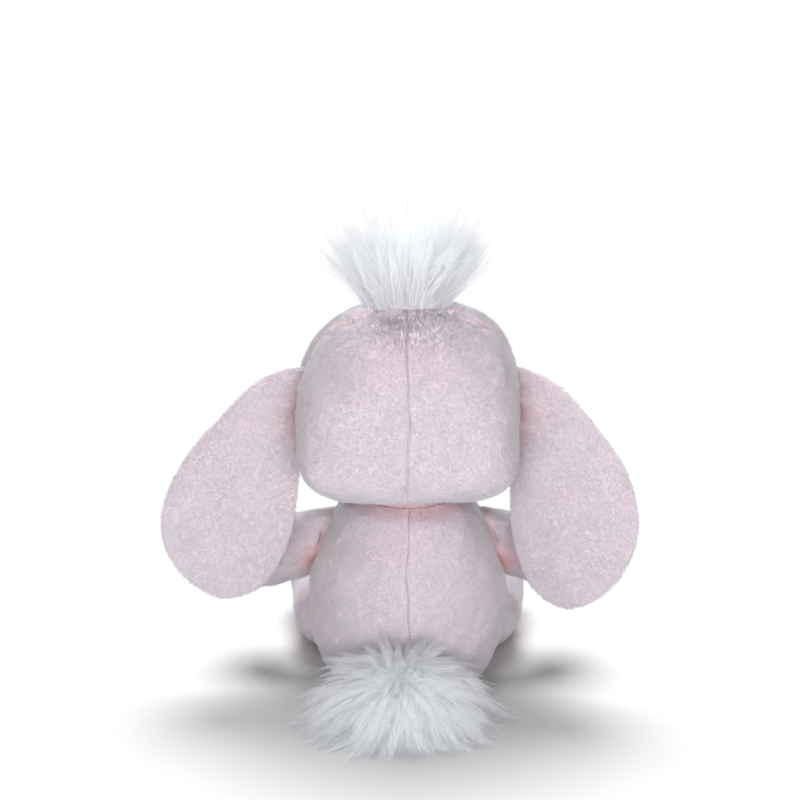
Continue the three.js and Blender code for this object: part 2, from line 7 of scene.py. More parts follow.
import bmesh
import bpy
import numpy as np
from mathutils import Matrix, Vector


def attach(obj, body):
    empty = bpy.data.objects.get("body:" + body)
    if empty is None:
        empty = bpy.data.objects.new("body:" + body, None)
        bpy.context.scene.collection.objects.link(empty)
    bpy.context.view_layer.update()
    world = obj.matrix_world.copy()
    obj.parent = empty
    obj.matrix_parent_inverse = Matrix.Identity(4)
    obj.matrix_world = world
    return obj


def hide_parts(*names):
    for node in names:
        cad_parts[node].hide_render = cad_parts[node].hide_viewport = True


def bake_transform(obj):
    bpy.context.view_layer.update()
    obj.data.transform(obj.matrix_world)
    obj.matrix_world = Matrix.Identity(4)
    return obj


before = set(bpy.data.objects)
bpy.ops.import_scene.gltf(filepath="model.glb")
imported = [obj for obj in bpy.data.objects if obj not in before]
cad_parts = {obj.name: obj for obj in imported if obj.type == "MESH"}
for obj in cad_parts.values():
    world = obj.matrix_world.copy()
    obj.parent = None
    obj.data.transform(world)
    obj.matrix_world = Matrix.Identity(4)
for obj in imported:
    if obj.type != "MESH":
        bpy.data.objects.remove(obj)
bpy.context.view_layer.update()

MM = 0.001


# ---------------------------------------------------------------------------------------------------------
# The room: a plain white floor that runs out of view, an even white surround, a wide soft light high on the
# far side, and large soft lamps round the rabbit. The camera looks at its back from a little above.

AIM = Vector((3.4, 0, 125.6)) * MM
CAMERA_HEIGHT_ANGLE = np.radians(20)
CAMERA_DISTANCE = 1.2
LENS = 128.6
LIT_MIDDLE = Vector((0, 0, 80)) * MM  # what the lamps point at
LAMP_SIZE = 1.3
FLOOR_REACH = 12


def look_from(thing, where, aim):
    thing.location = where
    thing.rotation_euler = (aim - where).to_track_quat("-Z", "Y").to_euler()


def add_to_scene(name, data):
    thing = bpy.data.objects.new(name, data)
    bpy.context.scene.collection.objects.link(thing)
    return thing


camera_data = bpy.data.cameras.new("camera")
camera_data.lens = LENS
camera_data.sensor_width = 36
camera_data.clip_start = 0.05
camera_data.clip_end = 50
camera = add_to_scene("camera", camera_data)
back_and_up = Vector((0, np.cos(CAMERA_HEIGHT_ANGLE), np.sin(CAMERA_HEIGHT_ANGLE)))
look_from(camera, AIM + CAMERA_DISTANCE * back_and_up, AIM)
bpy.context.scene.camera = camera


def add_lamp(name, kind, where, power, size):
    lamp = bpy.data.lights.new(name, kind)
    lamp.energy = power
    if kind == "SUN":
        lamp.angle = size
    else:
        lamp.shape = "DISK"
        lamp.size = size
    placed = add_to_scene(name, lamp)
    look_from(placed, Vector(where), LIT_MIDDLE)
    return placed


far_light = add_lamp("high_far_light", "SUN", (0, -0.45, 1.0), 2.75, np.radians(36))
rabbit_lamps = [
    add_lamp("low_back_lamp", "AREA", (-0.3, 1.5, 0.2), 15.5, LAMP_SIZE),
    add_lamp("high_back_lamp", "AREA", (0.6, 1.4, 0.8), 7.5, LAMP_SIZE),
    add_lamp("front_lamp", "AREA", (0.6, -1.5, 0.6), 9, LAMP_SIZE),
]

# The surround gives a dim even light, and is plain white where the camera sees it.
world = bpy.data.worlds.new("white_surround")
world.use_nodes = True
surround = world.node_tree.nodes
dim = surround["Background"]
dim.inputs["Color"].default_value = (1, 1, 1, 1)
dim.inputs["Strength"].default_value = 0.28
bright = surround.new("ShaderNodeBackground")
bright.inputs["Color"].default_value = (1, 1, 1, 1)
seen = surround.new("ShaderNodeLightPath")
either = surround.new("ShaderNodeMixShader")
world.node_tree.links.new(seen.outputs["Is Camera Ray"], either.inputs[0])
world.node_tree.links.new(dim.outputs[0], either.inputs[1])
world.node_tree.links.new(bright.outputs[0], either.inputs[2])
world.node_tree.links.new(either.outputs[0], surround["World Output"].inputs[0])
bpy.context.scene.world = world
bpy.context.scene.view_settings.view_transform = "Standard"


def plain_floor():
    mesh = bpy.data.meshes.new("floor")
    corners = [(x * FLOOR_REACH, y * FLOOR_REACH, 0) for x, y in ((-1, -1), (1, -1), (1, 1), (-1, 1))]
    mesh.from_pydata(corners, [], [(0, 1, 2, 3)])
    material = bpy.data.materials.new("white_floor")
    material.use_nodes = True
    surface = material.node_tree.nodes["Principled BSDF"]
    surface.inputs["Base Color"].default_value = (0.97, 0.97, 0.97, 1)
    surface.inputs["Roughness"].default_value = 0.9
    surface.inputs["Specular IOR Level"].default_value = 0
    mesh.materials.append(material)
    floor = add_to_scene("floor", mesh)
    return floor


# The lamps light the rabbit alone, so that they don't wash out the shadow on the floor.
not_lamplit = bpy.data.collections.new("not_lamplit")
not_lamplit.objects.link(plain_floor())
not_lamplit.collection_objects[0].light_linking.link_state = "EXCLUDE"
for lamp in rabbit_lamps:
    lamp.light_linking.receiver_collection = not_lamplit


# ---------------------------------------------------------------------------------------------------------
# Body back, left and right: two pink plush panels with a centre back seam. They meet the belly panel at the
# side seams, the seat below and the head at the neck seam. Made from the body's round form, cut at its seams,
# drawn in along them, given the cloth's thickness and covered with pile.

BODY_WIDTH = 84
BODY_DEPTH = 76
BODY_FLAT = BODY_DEPTH / BODY_WIDTH
BODY_SIDE = [  # height and half width of the stuffed body, from the seat to the neck seam
    (0, 27), (2.8, 30.6), (7, 34.2), (12.5, 37.1), (24, 41.3), (36, 42), (49, 40.2), (61, 36.4), (70, 32.6),
    (75, 30.2), (79, 27.4), (82, 23.8), (84.2, 21),
]
SIDE_SEAM_Y = 1
SEAT_SEAM_Z = 2.6
CLOTH = 1.1  # knitted backing
FLOOR_GAP = 0.1
FIBRE_WIDTH = 0.22
FIBRE_SWIRL = 0.28  # radians that the nap turns aside in patches
MOST_FIBRES = 49000  # in one piece of pile

PINK_ROOT_SHADE = (0.82, 0.55, 0.63)  # painted shade down between the fibres
PINK_TIP = (0.885, 0.838, 0.893)  # at the fibres' ends
PINK_COOL_TIP = (0.86, 0.842, 0.912)
SALMON_BACKING_AND_SHADE = (0.86, 0.40, 0.40)  # the backing where the pile parts, and painted shade in creases and between parts
# Painted shade down between the white plush's fibres.
WHITE_ROOT_SHADE = (0.84, 0.82, 0.86)
WHITE_TIP = (0.94, 0.945, 0.96)
WHITE_COOL_TIP = (0.91, 0.93, 0.97)
# The white plush's backing where the pile parts, and painted shade in creases and between parts.
WHITE_BACKING_AND_SHADE = (0.85, 0.78, 0.80)


def drift(points, size, seed):
    """A smooth value, mostly between -1 and 1, that changes over the given number of millimetres."""
    rng = np.random.default_rng(seed)
    total = np.zeros(len(points))
    for _ in range(7):
        wave = rng.normal(size=3)
        wave *= rng.uniform(0.6, 1.5) / np.linalg.norm(wave) * 2 * np.pi / size
        total += np.sin(points @ wave + rng.uniform(0, 2 * np.pi))
    return total / 3


def unit(vectors):
    return vectors / np.maximum(np.linalg.norm(vectors, axis=-1, keepdims=True), 1e-9)


def smooth_line(corners, count, closed=False):
    """Points along a smooth curve through the corners."""
    corners = np.array(corners, float)
    n = len(corners)
    at = np.linspace(0, n if closed else n - 1, count, endpoint=not closed)
    first = np.minimum(at.astype(int), (n if closed else n - 1) - 1)
    t = (at - first)[:, None]
    pick = (lambda i: corners[i % n]) if closed else (lambda i: corners[np.clip(i, 0, n - 1)])
    a, b, c, d = pick(first - 1), pick(first), pick(first + 1), pick(first + 2)
    return 0.5 * (2 * b + (c - a) * t + (2 * a - 5 * b + 4 * c - d) * t**2 + (3 * b - a - 3 * c + d) * t**3)


def grid_faces(rows, columns, closed=True):
    """Two triangles for each cell of a grid of rows by columns, which may close round the columns."""
    across = np.arange(columns if closed else columns - 1)
    row, column = np.meshgrid(np.arange(rows - 1), across, indexing="ij")
    a = (row * columns + column).ravel()
    b = (row * columns + (column + 1) % columns).ravel()
    return np.concatenate([np.stack([a, b, b + columns], 1), np.stack([a, b + columns, a + columns], 1)])


def lathe(side, rounds=72, flat=1.0):
    """A round form from its side curve of heights and radii, from the foot of its axis to the top."""
    side = np.array(side, float)
    angle = np.linspace(0, 2 * np.pi, rounds, endpoint=False)
    x = side[:, 1:] * np.cos(angle)
    y = side[:, 1:] * np.sin(angle) * flat
    z = np.broadcast_to(side[:, :1], x.shape)
    return np.stack([x, y, z], 2).reshape(-1, 3), grid_faces(len(side), rounds)


def corner_normals(points, faces):
    a, b, c = (points[faces[:, i]] for i in range(3))
    across = np.cross(b - a, c - a)
    normals = np.zeros_like(points)
    for i in range(3):
        np.add.at(normals, faces[:, i], across)
    return unit(normals)


def mesh_piece(name, points, faces, material):
    mesh = bpy.data.meshes.new(name)
    mesh.vertices.add(len(points))
    mesh.vertices.foreach_set("co", (points * MM).astype(np.float32).ravel())
    sides = faces.shape[1]
    mesh.loops.add(faces.size)
    mesh.loops.foreach_set("vertex_index", faces.astype(np.int32).ravel())
    mesh.polygons.add(len(faces))
    mesh.polygons.foreach_set("loop_start", np.arange(0, faces.size, sides, dtype=np.int32))
    mesh.polygons.foreach_set("use_smooth", np.ones(len(faces), bool))
    mesh.update(calc_edges=True)
    mesh.materials.append(material)
    return add_to_scene(name, mesh)


def note(piece, name, values):
    """Keeps one number for each point of a piece, for its material to read."""
    piece.data.attributes.new(name, "FLOAT", "POINT").data.foreach_set("value", values.astype(np.float32))


def cut_at(points, faces, seams):
    """The part of a form on the side of each seam plane that the plane's direction points to."""
    mesh = bpy.data.meshes.new("cut")
    mesh.from_pydata(points.tolist(), [], faces.tolist())
    cloth = bmesh.new()
    cloth.from_mesh(mesh)
    for point, direction in seams:
        whole = cloth.verts[:] + cloth.edges[:] + cloth.faces[:]
        plane = {"plane_co": point, "plane_no": direction}
        bmesh.ops.bisect_plane(cloth, geom=whole, dist=1e-4, clear_inner=True, **plane)
    bmesh.ops.triangulate(cloth, faces=cloth.faces[:])
    cloth.to_mesh(mesh)
    cloth.free()
    kept = np.array([v.co for v in mesh.vertices], float)
    triangles = np.array([p.vertices for p in mesh.polygons], int)
    bpy.data.meshes.remove(mesh)
    return kept, triangles


def drawn_in(points, seams, inward, depth=1.2, width=1.8):
    """Pulls a panel in along its seams, a little unevenly, as a stitched edge under stuffing is. The flat
    centre seams hardly sink in."""
    for point, direction in seams:
        centre = abs(direction[0]) == 1
        away = (points - np.array(point)) @ np.array(direction)
        pull = np.exp(-((away / (0.7 if centre else width)) ** 2)) * (0.45 if centre else depth)
        points = points + inward * (pull * (1 + 0.25 * drift(points, 7, 5)))[:, None]
    return points


def feed(tree, socket, value):
    """Gives a socket a value or another node's output."""
    if isinstance(value, bpy.types.NodeSocket):
        tree.links.new(value, socket)
    else:
        socket.default_value = value


def linked(tree, kind, **inputs):
    made = tree.nodes.new(kind)
    for name, value in inputs.items():
        feed(tree, made.inputs[name.replace("_", " ")], value)
    return made


def maths(tree, operation, first, second):
    made = tree.nodes.new("ShaderNodeMath")
    made.operation = operation
    feed(tree, made.inputs[0], first)
    feed(tree, made.inputs[1], second)
    return made.outputs[0]


def mixed(tree, share, first, second, blend="MIX"):
    """Mixes two colours. A colour mix has its share at socket 0 and its two colours at 6 and 7."""
    made = tree.nodes.new("ShaderNodeMix")
    made.data_type = "RGBA"
    made.blend_type = blend
    for socket, value in ((0, share), (6, first), (7, second)):
        feed(tree, made.inputs[socket], value)
    return made.outputs[2]


def plush(name, root_shade, tip, cool_tip, backing):
    """Pile cloth: paler fibre ends, cooler in soft patches, over a deeper colour that is painted shade down
    among the fibres, and the backing's colour where the pile parts, which also serves as painted shade in
    creases and between parts.
    """
    material = bpy.data.materials.new(name)
    material.use_nodes = True
    material.diffuse_color = (*tip, 1)
    tree = material.node_tree
    cloth = tree.nodes["Principled BSDF"]
    place = linked(tree, "ShaderNodeTexCoord").outputs["Object"]
    kept = {}
    for value in ("tip", "shade", "split_pile_and_shade"):
        node = linked(tree, "ShaderNodeAttribute")
        node.attribute_name = value
        kept[value] = node.outputs["Fac"]
    patches = linked(tree, "ShaderNodeTexNoise", Vector=place, Scale=38.0, Detail=2.0).outputs["Fac"]
    coolness = linked(tree, "ShaderNodeMapRange", Value=patches, From_Min=0.38, From_Max=0.62).outputs[0]
    ends = mixed(tree, coolness, (*tip, 1), (*cool_tip, 1))
    # Painted shade in the pile: the deep colour at the fibres' roots and on the cloth, paling to the fibre
    # ends.
    colour = mixed(tree, maths(tree, "POWER", kept["tip"], 0.45), (*root_shade, 1), ends)
    # Painted shade in creases and between parts: the backing's colour, mixed in by the mask where the pile
    # also parts.
    colour = mixed(tree, kept["split_pile_and_shade"], colour, (*backing, 1))
    grain = maths(tree, "ADD", maths(tree, "MULTIPLY", kept["shade"], 0.035), 0.965)
    tree.links.new(mixed(tree, 1.0, colour, grain, "MULTIPLY"), cloth.inputs["Base Color"])
    nap = linked(tree, "ShaderNodeTexNoise", Vector=place, Scale=1600.0, Detail=2.0).outputs["Fac"]
    bump = linked(tree, "ShaderNodeBump", Height=nap, Strength=0.3, Distance=0.0005)
    tree.links.new(bump.outputs[0], cloth.inputs["Normal"])
    cloth.inputs["Roughness"].default_value = 0.9
    cloth.inputs["Specular IOR Level"].default_value = 0.12
    cloth.inputs["Sheen Weight"].default_value = 0.5
    cloth.inputs["Sheen Roughness"].default_value = 0.4
    return material


pink_plush = plush("pink_plush", PINK_ROOT_SHADE, PINK_TIP, PINK_COOL_TIP, SALMON_BACKING_AND_SHADE)
white_plush = plush("white_plush", WHITE_ROOT_SHADE, WHITE_TIP, WHITE_COOL_TIP, WHITE_BACKING_AND_SHADE)


def scatter(points, faces, count, rng):
    """Random places on a surface and the way it faces there."""
    a, b, c = (points[faces[:, i]] for i in range(3))
    area = np.linalg.norm(np.cross(b - a, c - a), axis=1)
    pick = np.searchsorted(np.cumsum(area), rng.random(count) * area.sum())
    pick = np.minimum(pick, len(faces) - 1)
    u, v = rng.random(count), rng.random(count)
    over = u + v > 1
    u[over], v[over] = 1 - u[over], 1 - v[over]
    shares = np.stack([1 - u - v, u, v], 1)[:, :, None]
    normals = corner_normals(points, faces)
    return (points[faces[pick]] * shares).sum(1), unit((normals[faces[pick]] * shares).sum(1))


def gathered_tips(roots, tips, size, share, rng):
    """Draws the tips of neighbouring fibres together, so that the pile lies in small locks."""
    cell = np.floor((roots + drift(roots, 9, 3)[:, None] * 0.6) / size).astype(np.int64)
    key = cell[:, 0] * 73856093 ^ cell[:, 1] * 19349663 ^ cell[:, 2] * 83492791
    _, lock = np.unique(key, return_inverse=True)
    members = np.bincount(lock)
    middle = np.stack([np.bincount(lock, tips[:, i]) / members for i in range(3)], 1)
    return tips + (middle[lock] - tips) * (share * rng.uniform(0.4, 1, len(tips)))[:, None]


def needle_piece(name, roots, tips, normals, material, rng, split_pile_and_shade):
    """A short tapered fibre, three-sided and closed, from each root to its tip."""
    n = len(roots)
    way = unit(tips - roots)
    side = unit(np.cross(way, normals + 0.01))
    other = np.cross(way, side)
    turn = rng.uniform(0, 2 * np.pi, n)
    wide = FIBRE_WIDTH * rng.uniform(0.7, 1.3, n)
    corners = np.empty((n, 4, 3))
    shading = np.empty((n, 4, 3))
    for i in range(3):
        angle = turn + i * 2 * np.pi / 3
        out = side * np.cos(angle)[:, None] + other * np.sin(angle)[:, None]
        corners[:, i] = roots + out * wide[:, None] / 2
        shading[:, i] = unit(normals * 1.1 + out * 0.4)
    corners[:, 3] = tips
    shading[:, 3] = unit(normals + way * 0.15)
    corners = corners.reshape(-1, 3)
    corners[:, 2] = np.maximum(corners[:, 2], FLOOR_GAP)
    base = np.arange(n)[:, None] * 4
    faces = np.concatenate([base + corner for corner in ([0, 1, 3], [1, 2, 3], [2, 0, 3], [0, 2, 1])])
    piece = mesh_piece(name, corners, faces, material)
    piece.data.normals_split_custom_set_from_vertices(shading.reshape(-1, 3).astype(np.float32).tolist())
    # The roots take much of the deep colour, painted shade down in the pile, and the tips take the paler end
    # colour.
    note(piece, "tip", np.tile([0.3, 0.3, 0.3, 1.0], n))
    note(piece, "shade", np.repeat(rng.uniform(-1, 1, n), 4))
    # Mask of painted crease shade and the pile's parting, for the material.
    note(piece, "split_pile_and_shade", np.repeat(split_pile_and_shade, 4))
    return piece


def pile(name, skin, flow, material, split_pile_and_shade_at, seed, per_mm2=8.5, length=1.7, lean=38):
    """The nap of a panel: fibres that lean the way the nap lies, swirl a little and lie in small locks."""
    points, faces = skin
    rng = np.random.default_rng(seed)
    a, b, c = (points[faces[:, i]] for i in range(3))
    area = np.linalg.norm(np.cross(b - a, c - a), axis=1).sum() / 2
    count = min(int(area * per_mm2), MOST_FIBRES)
    roots, normals = scatter(points, faces, count, rng)
    way = flow(roots)
    way = unit(way - normals * (way * normals).sum(1, keepdims=True))
    turn = FIBRE_SWIRL * (drift(roots, 26, 11) + 0.6 * drift(roots, 9, 12)) + rng.normal(0, 0.2, count)
    way = way * np.cos(turn)[:, None] + np.cross(normals, way) * np.sin(turn)[:, None]
    tilt = np.radians(lean + 9 * drift(roots, 15, 13) + rng.normal(0, 9, count))
    long = length * rng.uniform(0.65, 1.2, count)
    tips = roots + (normals * np.cos(tilt)[:, None] + way * np.sin(tilt)[:, None]) * long[:, None]
    tips = gathered_tips(roots, tips, 0.9, 0.35, rng)
    # Painted shade in creases and the pile's parting, from the panel's mask.
    split_pile_and_shade = np.clip(split_pile_and_shade_at(roots), 0, 1)
    return needle_piece(name, roots - normals * 0.25, tips, normals, material, rng, split_pile_and_shade)


def nap_along(direction):
    """A nap that lies one way all over a panel."""
    return lambda points: np.tile(np.array(direction, float), (len(points), 1))


downwards = nap_along((0, 0, -1))


def cloth_piece(name, skin, material, split_pile_and_shade_at=None, stands_for=True):
    """A panel of cloth whose outside is the given surface, with its thickness on the inside."""
    piece = mesh_piece(name, *skin, material)
    solid = piece.modifiers.new("cloth", "SOLIDIFY")
    solid.thickness = CLOTH * MM
    solid.offset = -1
    # The cloth between the fibres takes much of the deep colour, painted shade down in the pile.
    note(piece, "tip", np.full(len(skin[0]), 0.3))
    # Painted shade in creases and the pile's parting, from the panel's mask.
    split_pile_and_shade = np.clip(split_pile_and_shade_at(skin[0]), 0, 1) if split_pile_and_shade_at else np.zeros(len(skin[0]))
    note(piece, "split_pile_and_shade", split_pile_and_shade)
    if stands_for:
        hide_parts(name)
    return piece


def plush_panel(name, skin, body, flow, material, slot, split_pile_and_shade_at, seed, **nap):
    """A panel and its pile, both riding on the same body if one is named."""
    cloth = cloth_piece(name, skin, material, split_pile_and_shade_at)
    nap_piece = pile(name + "_pile", skin, flow, material, split_pile_and_shade_at, seed, **nap)
    if body:
        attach(cloth, body)
        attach(nap_piece, body)
    return [cloth, nap_piece]


body_side = smooth_line(BODY_SIDE, 74)


def body_radius(heights):
    return np.interp(heights, body_side[:, 0], body_side[:, 1])


def body_inward(points):
    return unit(-points * [1, 1 / BODY_FLAT, 0])


def soft_dents(points, inward):
    """Small hollows and rises that loose stuffing leaves."""
    return points + inward * (0.45 * drift(points, 24, 21) + 0.16 * drift(points, 10, 22))[:, None]


def seam_wander(points):
    """A centre seam is never quite straight."""
    bend = 0.55 * np.sin(points[:, 2] / 7.5) + 0.3 * np.sin(points[:, 2] / 3.1 + 1)
    return points + np.stack([bend * np.exp(-((points[:, 0] / 9) ** 2)), 0 * bend, 0 * bend], 1)


def body_split_pile_and_shade(points):
    """Pinker painted shade in the creases where arms, legs and head press against the body, where the pile
    also parts.
    """
    near_arm = np.exp(-(((points[:, 1] + 6) / 14) ** 2 + ((points[:, 2] - 60) / 13) ** 2))
    near_leg = np.exp(-(((points[:, 1] + 30) / 16) ** 2 + ((points[:, 2] - 14) / 15) ** 2))
    return 0.2 * near_arm + 0.2 * near_leg + 0.3 * np.exp(-(((points[:, 2] - 83) / 2.5) ** 2))


def body_panel(name, seams, material, slot, seed, **nap):
    points, faces = cut_at(*lathe(body_side, 150, BODY_FLAT), seams)
    inward = body_inward(points)
    points = seam_wander(soft_dents(drawn_in(points, seams, inward), inward))
    skin = points, faces
    plush_panel(name, skin, "torso", downwards, material, slot, body_split_pile_and_shade, seed, **nap)


BACKWARDS, FORWARDS = (0, 1, 0), (0, -1, 0)
LEFTWARDS, RIGHTWARDS = (1, 0, 0), (-1, 0, 0)
side_seam = (0, SIDE_SEAM_Y, 0)
seat_seam = ((0, 0, SEAT_SEAM_Z), (0, 0, 1))

middle = (0, 0, 0)
back_seams = [(side_seam, BACKWARDS), seat_seam]
body_panel("body_back_left", [(middle, LEFTWARDS), *back_seams], pink_plush, "pink_plush", 31)
body_panel("body_back_right", [(middle, RIGHTWARDS), *back_seams], pink_plush, "pink_plush", 32)


# ---------------------------------------------------------------------------------------------------------
# Belly and seat: a white plush belly panel that closes the front of the body, and the flat white seat that
# the rabbit sits on. The seat is an oval sewn in all round.

SEAT_SIDE = [  # height and half width, from the seam with the body to the middle
    (2.5, 30.6), (1.4, 30.5), (0.5, 29.5), (0.12, 27), (0.1, 20), (0.1, 10), (0.1, 1),
]

belly_seams = [(side_seam, FORWARDS), seat_seam]
body_panel("belly_panel", belly_seams, white_plush, "white_plush", 33, per_mm2=6)

points, faces = lathe(SEAT_SIDE, 96, BODY_FLAT)
seat = cloth_piece("seat_panel", (points, faces[:, ::-1]), white_plush)
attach(seat, "torso")


# ---------------------------------------------------------------------------------------------------------
# Inside the body: loose white fibre stuffing round a small closed pouch of pellets that keeps the rabbit
# sitting, and the neck, a firm roll of the same fibre in a sleeve of pink plush. The neck is sewn to the
# body's top with a few white ladder stitches.

NECK = np.array([0, 0, 81.0])
NECK_SEAM = 20.4  # half the width of the body's top, where the stitches come out
POUCH_SIDE = [  # height and radius, from the middle of the underside to the middle of the top
    (3.2, 0.05), (3.2, 14), (5, 21), (8.4, 24.4), (9.4, 25.2), (10.4, 24.4), (14, 20), (15.9, 12), (16, 0.05),
]
OVER_POUCH = [(17.8, 0.05), (17.6, 14), (14, 23.6), (9, 27.2), (4.4, 27), (3.3, 28.4)]
STUFFING_TOP = [(79, 18), (79.6, 9), (79.7, 0.05)]
COVER = 2.7  # cloth, pile and a little air between the body's outside and its stuffing
NECK_ROLL_SIDE = [  # height from the middle of the neck, and radius
    (-14.5, 0.05), (-13.5, 8), (-9, 13.4), (-2, 16.2), (4, 16.2), (10, 13.4), (14, 8), (15, 0.05),
]
NECK_SLEEVE_SIDE = [(-9, 15.6), (-5, 17.4), (0, 18.5), (3, 18.5), (7, 16.6)]


def plain(name, colour, roughness, grain=700.0, depth=0.0003, **sockets):
    """A material of one colour that varies slightly, with a fine grain on its surface."""
    material = bpy.data.materials.new(name)
    material.use_nodes = True
    material.diffuse_color = (*colour, 1)
    tree = material.node_tree
    surface = tree.nodes["Principled BSDF"]
    place = linked(tree, "ShaderNodeTexCoord").outputs["Object"]
    noise = linked(tree, "ShaderNodeTexNoise", Vector=place, Scale=grain, Detail=3.0).outputs["Fac"]
    change = maths(tree, "ADD", maths(tree, "MULTIPLY", noise, 0.14), 0.93)
    tree.links.new(mixed(tree, 1.0, (*colour, 1), change, "MULTIPLY"), surface.inputs["Base Color"])
    bump = linked(tree, "ShaderNodeBump", Height=noise, Strength=0.5, Distance=depth)
    tree.links.new(bump.outputs[0], surface.inputs["Normal"])
    surface.inputs["Roughness"].default_value = roughness
    for socket, value in sockets.items():
        surface.inputs[socket.replace("_", " ")].default_value = value
    return material


fibre = plain("fibre_fill", (0.9, 0.9, 0.89), 0.9, depth=0.0008)
pouch_cloth = plain("pouch_cloth", (0.86, 0.84, 0.79), 0.8)
thread = plain("white_thread", (0.93, 0.93, 0.93), 0.6, grain=2500.0)


def inner_piece(name, skin, material, body, stands_for=True):
    piece = mesh_piece(name, *skin, material)
    if stands_for:
        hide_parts(name)
    if body:
        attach(piece, body)
    return piece


def lumpy(skin, size, seed):
    points, faces = skin
    normals = corner_normals(points, faces)
    return points + normals * (size * drift(points, 11, seed))[:, None], faces


pouch = lumpy(lathe(smooth_line(POUCH_SIDE, 60)), 0.3, 71)
inner_piece("pellet_pouch", pouch, pouch_cloth, "torso")

inside_cloth = [(height, radius - COVER) for height, radius in BODY_SIDE[2:-2]]
fill_side = smooth_line([*OVER_POUCH, *inside_cloth, *STUFFING_TOP], 90)
torso_fill = lumpy(lathe(fill_side, 96, BODY_FLAT), 0.25, 72)
inner_piece("torso_stuffing", torso_fill, fibre, "torso")

points, faces = lathe(smooth_line(NECK_ROLL_SIDE, 50))
neck_fill = lumpy((points + NECK, faces), 0.25, 73)
inner_piece("neck_stuffing", neck_fill, fibre, "neck")


# The neck sleeve lies in the crease under the head: painted shade all over it, where its pile also parts.
def sleeve_split_pile_and_shade(points):
    return np.full(len(points), 0.45)


points, faces = lathe(smooth_line(NECK_SLEEVE_SIDE, 24), 110)
skin = points + NECK, faces
sleeve = cloth_piece("neck_sleeve", skin, pink_plush, sleeve_split_pile_and_shade, stands_for=False)
sleeve_pile = pile("neck_sleeve_pile", skin, downwards, pink_plush, sleeve_split_pile_and_shade, 74, length=1.3)
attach(sleeve, "neck")
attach(sleeve_pile, "neck")


def thread_tube(corners, thick, rounds=8, steps=40):
    """A closed tube along a smooth curve through the corners."""
    line = smooth_line(corners, steps)
    way = unit(np.gradient(line, axis=0))
    side = unit(np.cross(way, [0.3, 0.2, 0.9]))
    other = np.cross(way, side)
    angle = np.linspace(0, 2 * np.pi, rounds, endpoint=False)
    wide = np.full(steps, thick / 2)
    wide[0] = wide[-1] = 0.02
    ring = side[:, None] * np.cos(angle)[:, None] + other[:, None] * np.sin(angle)[:, None]
    points = line[:, None] + ring * wide[:, None, None]
    return points.reshape(-1, 3), grid_faces(steps, rounds)


def joined(skins):
    """Several forms as one."""
    offsets = np.cumsum([0] + [len(points) for points, _ in skins[:-1]])
    faces = [faces + offset for (_, faces), offset in zip(skins, offsets)]
    return np.concatenate([points for points, _ in skins]), np.concatenate(faces)


stitches = []
for i, x in enumerate(np.linspace(-14.5, 1.5, 6)):
    y = NECK_SEAM * BODY_FLAT * np.sqrt(1 - (x / 21.5) ** 2) + 0.7
    slant = 0.9 * (-1) ** i
    stitch = [(x - slant, y - 1.2, 80.9), (x - slant / 2, y + 0.7, 82), (x + slant, y - 1.6, 84.6)]
    stitches.append(thread_tube(stitch, 0.5, steps=12))
inner_piece("neck_stitches", joined(stitches), thread, "torso", stands_for=False)


# ---------------------------------------------------------------------------------------------------------
# Head back, left and right, forehead and cheeks: five plush panels. The pink back pair has a centre seam and
# runs to the ear-to-ear seam; the pink forehead panel goes over the crown; two white cheeks close the face.

HEAD_SIZE = np.array([91.0, 84.0, 82.0])
HEAD_CENTRE = np.array([0, 0, 123.5])
SQUARE_TOP, SQUARE_LOW = 2.8, 5.0
UNDER_RISE, UNDER_ROUND = 3.2, 4.6  # how far the underside is pushed up, and further at the face and back
EAR_SEAM_Y, EAR_SEAM_LEAN = -0.5, np.radians(12)
CHEEK_SEAM_DROP, CHEEK_SEAM_SLOPE = 9, np.radians(-7)


def ramp(values):
    """Goes smoothly from 0 to 1 as the values do."""
    held = np.clip(values, 0, 1)
    return held * held * (3 - 2 * held)


def head_reach(directions, inset=0.0):
    low = ramp(-directions[:, 2] + 0.5)
    n = (SQUARE_TOP + (SQUARE_LOW - SQUARE_TOP) * low)[:, None]
    total = (np.abs(directions / (HEAD_SIZE / 2 - inset)) ** n).sum(1, keepdims=True)
    return total ** (-1 / n)


def head_form(steps=54, inset=0.0):
    """The head's outside: a cube's grid blown up to a round-cornered form."""
    at = np.tan(np.linspace(-np.pi / 4, np.pi / 4, steps + 1))
    u, v = (g.ravel() for g in np.meshgrid(at, at, indexing="ij"))
    one = np.ones_like(u)
    sides = [(one, u, v), (-one, v, u), (v, one, u), (u, -one, v), (u, v, one), (v, u, -one)]
    points = np.concatenate([np.stack(side, 1) for side in sides])
    faces = grid_faces(steps + 1, steps + 1, closed=False)
    faces = np.concatenate([faces + i * (steps + 1) ** 2 for i in range(6)])
    directions = unit(points)
    points = directions * head_reach(directions, inset)
    low = ramp(-points[:, 2] / 35)
    points[:, 2] += low * (UNDER_RISE + UNDER_ROUND * ramp((np.abs(points[:, 1]) - 2) / 28))
    points[:, 0] -= 2.6 * ramp((points[:, 2] - 4) / 28) * ramp(points[:, 0] / 36)
    points = points + HEAD_CENTRE
    welded, same = np.unique(np.round(points, 4), axis=0, return_inverse=True)
    faces = same.ravel()[faces]
    a, b, c = (welded[faces[:, i]] for i in range(3))
    wrong = (np.cross(b - a, c - a) * ((a + b + c) / 3 - HEAD_CENTRE)).sum(1) < 0
    faces[wrong] = faces[wrong][:, ::-1]
    return welded, faces


def head_inward(points):
    return unit(HEAD_CENTRE - points)


